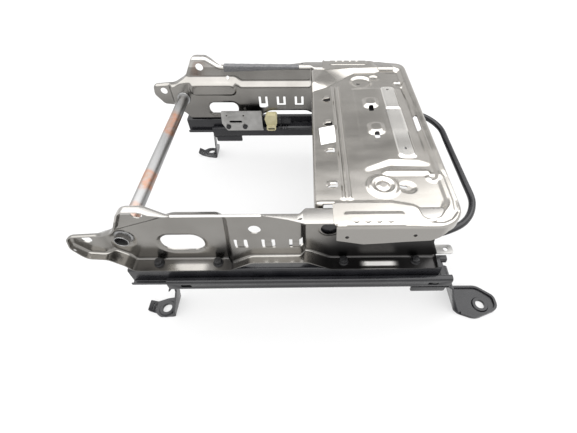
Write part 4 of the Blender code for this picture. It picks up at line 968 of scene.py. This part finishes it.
for side, word in SIDES.items():
    for number, x in enumerate(BOLT_PLACES, 1):
        bolt = bmesh.new()
        where = Matrix.Translation((x, side * TRACK_DEPTH, BOLT_SEAT + 0.0048))
        head = bmesh.ops.create_cone(bolt, cap_ends=True, segments=6, radius1=0.0066, radius2=0.0066,
                                     depth=0.0052, matrix=where)["verts"]
        top = [edge for edge in {edge for vertex in head for edge in vertex.link_edges}
               if all(vertex.co.z > BOLT_SEAT + 0.0048 for vertex in edge.verts)]
        bmesh.ops.bevel(bolt, geom=top, offset=0.0008, affect="EDGES", segments=2, profile=0.5, material=-1)
        bmesh.ops.create_cone(bolt, cap_ends=True, segments=32, radius1=0.0082, radius2=0.0070, depth=0.0022,
                              matrix=Matrix.Translation((x, side * TRACK_DEPTH, BOLT_SEAT + 0.0011)))
        bmesh.ops.create_cone(bolt, cap_ends=True, segments=24, radius1=0.004, radius2=0.004, depth=0.0145,
                              matrix=Matrix.Translation((x, side * TRACK_DEPTH, BOLT_SEAT - 0.0067)))
        finish_piece(made(f"flange_bolt_{word}_{number}", bolt), black_bolt, "seat_frame",
                     [f"frame_bolt_{word}_{number}"])


# Cross tube
# A drawn steel tube that ties the members together behind, pushed through their webs and welded. The
# welding heat has left straw and copper bands along it, and a ridged bead round each end.

TUBE_RADIUS = 0.011
TUBE_WALL = 0.0016
TUBE_END = 0.2068
BEAD_DEPTH = WEB_DEPTH - 0.0020
HEAT_BANDS = ((0.051, 0.127), (-0.099, -0.056), (-0.172, -0.140))
HEAT_FADE = 0.008

tube = bmesh.new()
half = [(TUBE_RADIUS - TUBE_WALL, 0), (TUBE_RADIUS - TUBE_WALL, TUBE_END - 0.0004),
        (TUBE_RADIUS - TUBE_WALL + 0.0004, TUBE_END), (TUBE_RADIUS - 0.0004, TUBE_END),
        (TUBE_RADIUS, TUBE_END - 0.0004)]
bead_turns = [math.pi * step / 6 for step in range(7)]
half += [(TUBE_RADIUS + 0.0034 * math.sin(turn), BEAD_DEPTH + 0.0018 * math.cos(turn)) for turn in bead_turns]
half += [(TUBE_RADIUS, depth) for depth in (0.14, 0.07, 0)]
profile = [tube.verts.new((TUBE_X + radius, depth, TUBE_Z)) for radius, depth in half]
strand = [tube.edges.new(pair) for pair in zip(profile, profile[1:])]
bmesh.ops.spin(tube, geom=profile + strand, cent=(TUBE_X, 0, TUBE_Z), axis=(0, 1, 0), angle=2 * math.pi,
               steps=40, use_merge=True)
bmesh.ops.mirror(tube, geom=tube.verts[:] + tube.edges[:] + tube.faces[:], axis="Y", merge_dist=0.00001)
bmesh.ops.remove_doubles(tube, verts=tube.verts, dist=0.00001)
bmesh.ops.recalc_face_normals(tube, faces=tube.faces)

tube_steel, tree, shader = surface("tube_steel", (0.42, 0.42, 0.42), 0.32, 1.0)
drift = spread(tree, cloud(tree, 45, 3).outputs["Fac"], -0.006, 0.006)
wander = summed(tree, drift, 1.0, place_parts(tree)["Y"])
heat = 0.0
for low, high in HEAT_BANDS:
    rise = eased(tree, wander, low - HEAT_FADE, low + HEAT_FADE)
    fade = eased(tree, wander, high + HEAT_FADE, high - HEAT_FADE)
    heat = summed(tree, rise, fade, heat)
patchy = summed(tree, heat, spread(tree, cloud(tree, 90, 4).outputs["Fac"], 0.45, 1.0))
copper_tone = spread(tree, cloud(tree, 130, 3).outputs["Fac"], 0, 1)
copper = blended(tree, copper_tone, (0.45, 0.215, 0.135), (0.36, 0.25, 0.19))
tree.links.new(blended(tree, patchy, (0.34, 0.34, 0.34), copper), shader.inputs["Base Color"])
uneven(tree, shader, 70, 3, 0.26, 0.42, (1, 0.1, 1))
finish_piece(made("cross_tube_bar", tube), tube_steel, "seat_frame", ["cross_tube"])


# Cushion pan
# A wide shallow pressing of 1.5 mm bright zinc-coated sheet across the front, spot-welded to the
# members' top flanges. Its sunk floor has a hump, pads, beads and hooks that carry the cushion.

PAN_SHEET = 0.0015
PAN_TOP = TOP_LEVEL + SEAT_GAP + PAN_SHEET
PAN_BEND = 0.006
PAN_STEP = 0.0018
PAN_MIDDLE_HALF = 0.196
PAN_HALF = 0.2355
WING_REAR = 0.035
FLOOR_DROP = 0.007
PAD_RISE = 0.0026
TAB_PLACES = (0.086, 0.006, -0.069, -0.150)
TAB_HALF = 0.0045
CROWN_PLACES = (0.060, -0.022)
FAR_DOME, NEAR_DOME = (0.112, 0.153), (0.112, -0.155)
FRONT_DOME = (0.189, -0.138)
DIMPLE_PLACES = (0.065, 0.080, 0.095, 0.110)
DIMPLE_DEPTH = 0.2275

PAN_OUTLINE = (
    (0.010, -PAN_MIDDLE_HALF, 0.0075), (WING_REAR, -PAN_MIDDLE_HALF, 0.0), (WING_REAR, -PAN_HALF, 0.0075),
    (0.212, -PAN_HALF, 0.038), (0.212, PAN_HALF, 0.038), (WING_REAR, PAN_HALF, 0.0075),
    (WING_REAR, PAN_MIDDLE_HALF, 0.0), (0.010, PAN_MIDDLE_HALF, 0.0075),
)
SKIRT_X = (0.0, 0.0299, 0.030, 0.065, 0.078, 0.104, 0.134, 0.170, 0.183, 0.191, 0.26)
SKIRT_DROP = (0.0225, 0.0225, 0.0295, 0.0375, 0.0405, 0.0385, 0.0355, 0.0330, 0.0255, 0.0175, 0.0145)
PAN_FLOOR = arcs([(-0.05, -0.193, 0), (0.115, -0.193, 0.01), (0.150, -0.201, 0.012), (0.155, -0.224, 0.012),
                  (0.178, -0.222, 0.02), (0.199, -0.195, 0.03), (0.199, 0.190, 0.02), (0.186, 0.212, 0.02),
                  (0.158, 0.214, 0.01), (0.148, 0.200, 0.01), (0.093, 0.197, 0.01), (0.036, 0.191, 0.005),
                  (0.016, 0.141, 0.01), (-0.05, 0.137, 0)], 6)
FACET_TOP = ((0.010, 0.138), (0.016, 0.141), (0.036, 0.191), (0.093, 0.197), (0.104, 0.198))
FACET_FOOT = ((0.010, 0.112), (0.043, 0.130), (0.070, 0.157), (0.083, 0.169), (0.102, 0.189))
HUMP_X = (0.0895, 0.0940, 0.138, 0.146, 0.175, 0.192)
HUMP_LIFT = (0.0, 0.0017, 0.0048, 0.0046, 0.0042, 0.0)
BORDER_GROOVE = ((0.191, 0.127), (0.200, 0.013), (0.201, -0.067), (0.202, -0.128), (0.205, -0.141),
                 (0.205, -0.190), (0.202, -0.210), (0.192, -0.222), (0.181, -0.227), (0.167, -0.226))


def pan_rim(x, y):
    """How far the skirt reaches down."""
    return float(np.interp(x, SKIRT_X, SKIRT_DROP))


def pan_folded(x, y):
    """0 on the short edges behind the wings, which have no skirt, and 1 elsewhere."""
    return 0.0 if abs(y) > PAN_MIDDLE_HALF - 0.001 and 0.022 < x < WING_REAR + 0.004 else 1.0


def mound(x, y, centre, radius, slope):
    """1 on a round patch, falling to 0 over the slope."""
    return ramp(radius - np.hypot(x - centre[0], y - centre[1]), slope)


def pan_form(x, y):
    """How far each point is pressed down from the level of the wings."""
    sunk = FLOOR_DROP * ramp(within(x, y, PAN_FLOOR), 0.009)
    top, foot = away(x, y, FACET_TOP), away(x, y, FACET_FOOT)
    between = within(x, y, [*FACET_FOOT, *FACET_TOP[::-1]]) > 0
    sunk = np.where(between, FLOOR_DROP * top / (top + foot + 1e-9), sunk)
    sunk += 0.0016 * ramp(0.0042 - away(x, y, BORDER_GROOVE), 0.0036)
    border = ramp(x - 0.138, 0.02) * ramp(0.212 - x, 0.03)
    sunk += border * np.where(y > 0, 0.0042, 0.0015) * ramp(np.abs(y) - 0.195, 0.03)
    near_end = np.interp(x, (0.093, 0.129, 0.19), (-0.123, -0.108, -0.111))
    rise = np.interp(x, HUMP_X, HUMP_LIFT) * ramp(np.minimum(y - near_end, 0.126 - y), 0.008)
    low_middle = 0.0016 * ramp(within(x, y, boxed(0.1585, 0.0085, 0.040, 0.074, 0.001)), 0.0020)
    rise += (PAD_RISE - low_middle) * ramp(within(x, y, boxed(0.1597, 0.0135, 0.0285, 0.218, 0.008)), 0.0030)
    for middle in CROWN_PLACES:
        crown = within(x, y, boxed(0.1200, middle + 0.006, 0.032, 0.038, 0.013))
        rise += 0.005 * ramp(crown, 0.009)
    for bead in (0.0525, 0.0615):
        rise += 0.0030 * ramp(within(x, y, boxed(bead, -0.025, 0.0075, 0.316, 0.0035)), 0.0036)
    rise -= 0.0035 * mound(x, y, FAR_DOME, 0.024, 0.007)
    rise -= 0.0020 * mound(x, y, (0.140, 0.168), 0.012, 0.006)
    rise += 0.0040 * mound(x, y, NEAR_DOME, 0.025, 0.006)
    rise -= 0.0030 * mound(x, y, NEAR_DOME, 0.0150, 0.0035)
    rise += 0.0020 * mound(x, y, NEAR_DOME, 0.0095, 0.0025)
    rise -= 0.0022 * mound(x, y, (0.148, -0.157), 0.013, 0.006)
    rise += 0.0036 * ramp(within(x, y, boxed(0.152, -0.1265, 0.074, 0.012, 0.0055)), 0.005)
    rise -= 0.0022 * mound(x, y, (0.186, 0.142), 0.010, 0.004)
    rise += 0.0018 * mound(x, y, FRONT_DOME, 0.011, 0.004)
    rise -= 0.0010 * mound(x, y, FRONT_DOME, 0.006, 0.002)
    for side in SIDES:
        rise += 0.0009 * ramp(within(x, y, boxed(0.0905, side * 0.2235, 0.079, 0.022, 0.003)), 0.0012)
        for dimple in DIMPLE_PLACES:
            rise -= 0.0014 * mound(x, y, (dimple, side * DIMPLE_DEPTH), 0.0036, 0.0016)
    return sunk - rise


pan_steel = pressed_steel("pan_steel", (0.44, 0.422, 0.395), (0.38, 0.362, 0.335), 0.15, 0.25)

# Painted highlight: the top of the long pad is painted much lighter. Painted shade: the skirt is painted
# darker.
tree = pan_steel.node_tree
along, across_seat, height = place_parts(tree)
long_pad_area = summed(tree, eased(tree, gap_from(tree, along, 0.1600), 0.0145, 0.0130),
                eased(tree, gap_from(tree, across_seat, 0.0135), 0.1090, 0.1070))
# Painted shade on the skirt.
drawn_streaks_and_skirt_shade = summed(tree, eased(tree, height, PAN_TOP - 0.0040, PAN_TOP - 0.0090),
               eased(tree, gap_from(tree, across_seat), 0.2325, 0.2350))
# Painted highlight on the top of the long pad.
pad_top_highlight = summed(tree, long_pad_area, eased(tree, height, PAN_TOP - 0.0060, PAN_TOP - 0.0030))
tinted(tree, pad_top_highlight, (0.74, 0.72, 0.69))
tinted(tree, drawn_streaks_and_skirt_shade, (0.31, 0.298, 0.281))

tray = pressed_tray(arcs(PAN_OUTLINE, 9), PAN_BEND, PAN_STEP, pan_rim, pan_folded)
level_part = lambda centre: centre.z < 0.0005
for middle in CROWN_PLACES:
    pierce(tray, boxed(0.1195, middle - 0.014, 0.009, 0.014, 0.003, 3), where=level_part)
for y in TAB_PLACES:
    pierce(tray, boxed(0.0375, y, 0.0165, 0.0125, 0.002, 2), where=level_part)
pierce(tray, boxed(0.1945, 0.001, 0.0065, 0.046, 0.003, 4), where=level_part)
pierce(tray, boxed(0.142, -0.155, 0.012, 0.006, 0.002, 3), where=level_part)
pierce(tray, boxed(0.1765, 0.1885, 0.019, 0.0014, 0.0005, 2), where=level_part)
pierce(tray, boxed(0.1900, 0.1410, 0.016, 0.0012, 0.0005, 2), where=level_part)
on_skirt = lambda centre: centre.y < -PAN_HALF + 0.0005
for x, drop in ((0.054, 0.0245), (0.146, 0.0215)):
    pierce(tray, ring(x, drop, 0.0028, 16), axes=(0, 2), where=on_skirt)
for x, y, radius in ((0.106, 0.150, 0.004), (0.158, 0.109, 0.003), (0.159, -0.075, 0.003),
                     (0.186, 0.150, 0.003), (0.184, -0.140, 0.0035), (0.142, 0.170, 0.0025)):
    pierce(tray, ring(x, y, radius, 16), where=level_part)
put = lambda a, b, c: Vector((a, b, PAN_TOP - c))
pan = sheet_piece("cushion_pan", tray, pan_form, put, PAN_SHEET)
finish_piece(pan, pan_steel, "seat_frame", ["front_pan"], sharp=38)

# The cushion's hooks catch under four tongues, which are lanced out of the pan's floor and bent up.
floor_level = PAN_TOP - FLOOR_DROP
tab_line = ((0.0270, floor_level - 0.0003), (0.0300, floor_level), (0.0345, floor_level + 0.0042),
            (0.0425, floor_level + 0.0050))
for number, y in enumerate(TAB_PLACES, 1):
    tongue = slab(folded_strip(tab_line, PAN_SHEET, 0.002, 4), 1, y - TAB_HALF, y + TAB_HALF)
    finish_piece(made(f"lanced_tab_{number}", tongue), pan_steel, "seat_frame", edge=0.0002)


# Foam strip
# A wedge of dark closed-cell foam tape stuck along the left member's top flange, so that the cushion
# doesn't creak on the steel.

foam_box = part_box("foam_strip_left")
foam_foot = foam_box[0].z + 0.0001
section = [(0.2000, 0.2450), (0.2078, 0.2450), (0.2078, foam_foot), (0.2140, foam_foot), (0.2140, 0.2500),
           (0.2000, 0.2500)]
FOAM_STRIPS = 40
strip = slab([Vector(point) for point in section], 0, foam_box[0].x, foam_box[1].x)
for step in range(1, FOAM_STRIPS):
    bmesh.ops.bisect_plane(strip, geom=strip.verts[:] + strip.edges[:] + strip.faces[:], dist=0.00001,
                           plane_co=(foam_box[0].x + 0.004 * step, 0, 0), plane_no=(1, 0, 0))
for vertex in strip.verts:
    along = (vertex.co.x - foam_box[0].x) / (foam_box[1].x - foam_box[0].x)
    wave = 0.0003 * (1 + math.sin(vertex.co.x * 310) * math.sin(vertex.co.x * 97))
    if vertex.co.z > 0.249:
        vertex.co.z -= wave + 0.0022 * along
    elif vertex.co.y < 0.210 and abs(vertex.co.z - 0.2450) < 0.0004:
        vertex.co.z -= (0.0078 - 0.0060 * along) * (vertex.co.z < foam_box[0].z + 0.00005)
foam, tree, shader = surface("foam", (0.085, 0.085, 0.088), 0.95, 0.0)
mottled(tree, shader, 320, 4, (0.07, 0.07, 0.075), (0.13, 0.13, 0.132))
bumps(tree, shader, cloud(tree, 1500, 3).outputs["Fac"], 0.6, 0.0006)
strip_piece = finish_piece(made("foam_tape", strip), foam, "seat_frame", ["foam_strip_left"], 0.0006)


# Inspection label
# A small bare white paper label stuck on the pan's floor between the lanced tabs.

LABEL = ((0.0215, -0.010), (0.0480, -0.0015), (0.0500, -0.0480), (0.0240, -0.0560))
label = slab([Vector(point) for point in LABEL], 2, floor_level + 0.00005, floor_level + 0.0002)
white_label, tree, shader = surface("white_label", (0.86, 0.86, 0.84), 0.6, 0.0)
mottled(tree, shader, 200, 3, (0.84, 0.84, 0.82), (0.9, 0.9, 0.89))
finish_piece(made("bare_label", label), white_label, "seat_frame")


# Harness bracket, its rivets and the connector
# A small zinc-plated plate on two black rivets beside the left rail, which holds the seat's wiring,
# with the cream plastic connector parked next to it.

zinc, tree, shader = surface("zinc", (0.55, 0.55, 0.54), 0.34, 1.0)
mottled(tree, shader, 40, 4, (0.30, 0.295, 0.285), (0.38, 0.375, 0.365))
uneven(tree, shader, 150, 3, 0.28, 0.44)
bumps(tree, shader, cloud(tree, 700, 2).outputs["Fac"], 0.1, 0.0003)

HARNESS_DEPTH = (0.1826, 0.1841)
plate_outline = arcs([(-0.200, 0.122, 0.004), (-0.190, 0.102, 0.005), (-0.104, 0.102, 0.001),
                      (-0.104, 0.154, 0.001), (-0.197, 0.154, 0.004)], 6)
bracket = made("harness_plate", slab(plate_outline, 1, *HARNESS_DEPTH))
lip = slab([Vector(p) for p in ((-0.1055, 0.110), (-0.104, 0.110), (-0.104, 0.154), (-0.1055, 0.154))], 1,
           HARNESS_DEPTH[0] - 0.006, HARNESS_DEPTH[1] - 0.0001)
cut_away(bracket, lip, operation="UNION")
cut_away(bracket, slab(boxed(-0.167, 0.126, 0.030, 0.006, 0.0029, 6), 1, 0.17, 0.20))
for x in (-0.186, -0.147):
    cut_away(bracket, slab(ring(x, 0.142, 0.0022, 16), 1, 0.17, 0.20))
    cut_away(bracket, slab(ring(x, 0.1125, 0.0028, 20), 1, 0.17, 0.20))
finish_piece(bracket, zinc, "seat_frame", ["harness_bracket"], 0.0002)
carry_over(["bracket_rivet_1", "bracket_rivet_2"], black_bolt)

cream_plastic, tree, shader = surface("cream_plastic", (0.62, 0.56, 0.33), 0.45, 0.0)
mottled(tree, shader, 90, 3, (0.36, 0.325, 0.187), (0.41, 0.372, 0.235))
bumps(tree, shader, cloud(tree, 1200, 2).outputs["Fac"], 0.1, 0.0002)
carry_over(["harness_connector"], cream_plastic)


# Cable tab
# A small zinc-plated tab with a hole, welded inside the right member's front end.

carry_over(["cable_tab"], zinc)


# Latches and pivots
# On the inner side of each upper rail a black bracket carries the toothed latch on its pin, with a
# coil spring round it, and the shouldered pin that the release handle turns on.

spring_steel, tree, shader = surface("spring_steel", (0.2, 0.2, 0.21), 0.3, 1.0)
uneven(tree, shader, 400, 2, 0.25, 0.4)
for word in SIDES.values():
    carry_over([f"latch_bracket_{word}", f"latch_lever_{word}"], black_coat)
    carry_over([f"latch_pin_{word}", f"handle_pivot_{word}"], black_bolt)
    carry_over([f"latch_spring_{word}"], spring_steel)


# Release handle
# A 12 mm bar bent in one sweep across the front, powder coated black, with a lever plate welded on
# each end. Lifting it presses the latches' tails down and frees both rails.

BAR_RADIUS = 0.006
BAR_HALF_PATH = (
    (0.094, 0.168, 0.129), (0.130, 0.171, 0.133), (0.175, 0.175, 0.143), (0.210, 0.176, 0.152),
    (0.236, 0.170, 0.157), (0.257, 0.158, 0.157), (0.273, 0.141, 0.157), (0.284, 0.120, 0.157),
    (0.289, 0.098, 0.157), (0.289, 0.060, 0.157), (0.289, 0.020, 0.157),
)
LEVER_PLATE = ((0.034, 0.120, 0.002), (0.045, 0.120, 0.002), (0.049, 0.124, 0.003), (0.118, 0.1285, 0.003),
               (0.118, 0.135, 0.003), (0.064, 0.134, 0.006), (0.034, 0.128, 0.002))


def smooth_path(points, pieces=6):
    """Points along a smooth curve that passes through the given ones."""
    places = [2 * points[0] - points[1], *points, 2 * points[-1] - points[-2]]
    curve = []
    for first, start, end, last in zip(places, places[1:], places[2:], places[3:]):
        bend = 2 * first - 5 * start + 4 * end - last
        twist = 3 * start - first - 3 * end + last
        for step in range(pieces):
            t = step / pieces
            curve.append(0.5 * (2 * start + (end - first) * t + bend * t * t + twist * t ** 3))
    return [*curve, points[-1]]


half_path = [Vector(point) for point in BAR_HALF_PATH]
far_half = [Vector((x, -y, z)) for x, y, z in half_path[::-1]]
bend_line = bpy.data.curves.new("release_bar", "CURVE")
bend_line.dimensions = "3D"
bend_line.bevel_depth = BAR_RADIUS
bend_line.bevel_resolution = 6
bend_line.use_fill_caps = True
course = smooth_path(half_path + far_half)
spline = bend_line.splines.new("POLY")
spline.points.add(len(course) - 1)
for point, place in zip(spline.points, course):
    point.co = (*place, 1)
bar_curve = bpy.data.objects.new("release_bar_line", bend_line)
bpy.context.scene.collection.objects.link(bar_curve)
bpy.context.view_layer.update()
bar_mesh = bpy.data.meshes.new_from_object(bar_curve.evaluated_get(bpy.context.evaluated_depsgraph_get()))
bpy.data.objects.remove(bar_curve)
bar_shape = bmesh.new()
bar_shape.from_mesh(bar_mesh)
bmesh.ops.remove_doubles(bar_shape, verts=bar_shape.verts, dist=0.000001)
bpy.data.meshes.remove(bar_mesh)
finish_piece(made("release_bar", bar_shape), black_coat, "handle", ["release_handle"])
for side, word in SIDES.items():
    low, high = sorted((side * 0.163, side * 0.167))
    plate = made(f"lever_plate_{word}", slab(arcs(LEVER_PLATE, 5), 1, low, high))
    cut_away(plate, slab(ring(0.070, 0.124, 0.0043, 24), 1, low - 0.01, high + 0.01))
    finish_piece(plate, black_coat, "handle", ["release_handle"], 0.0003)
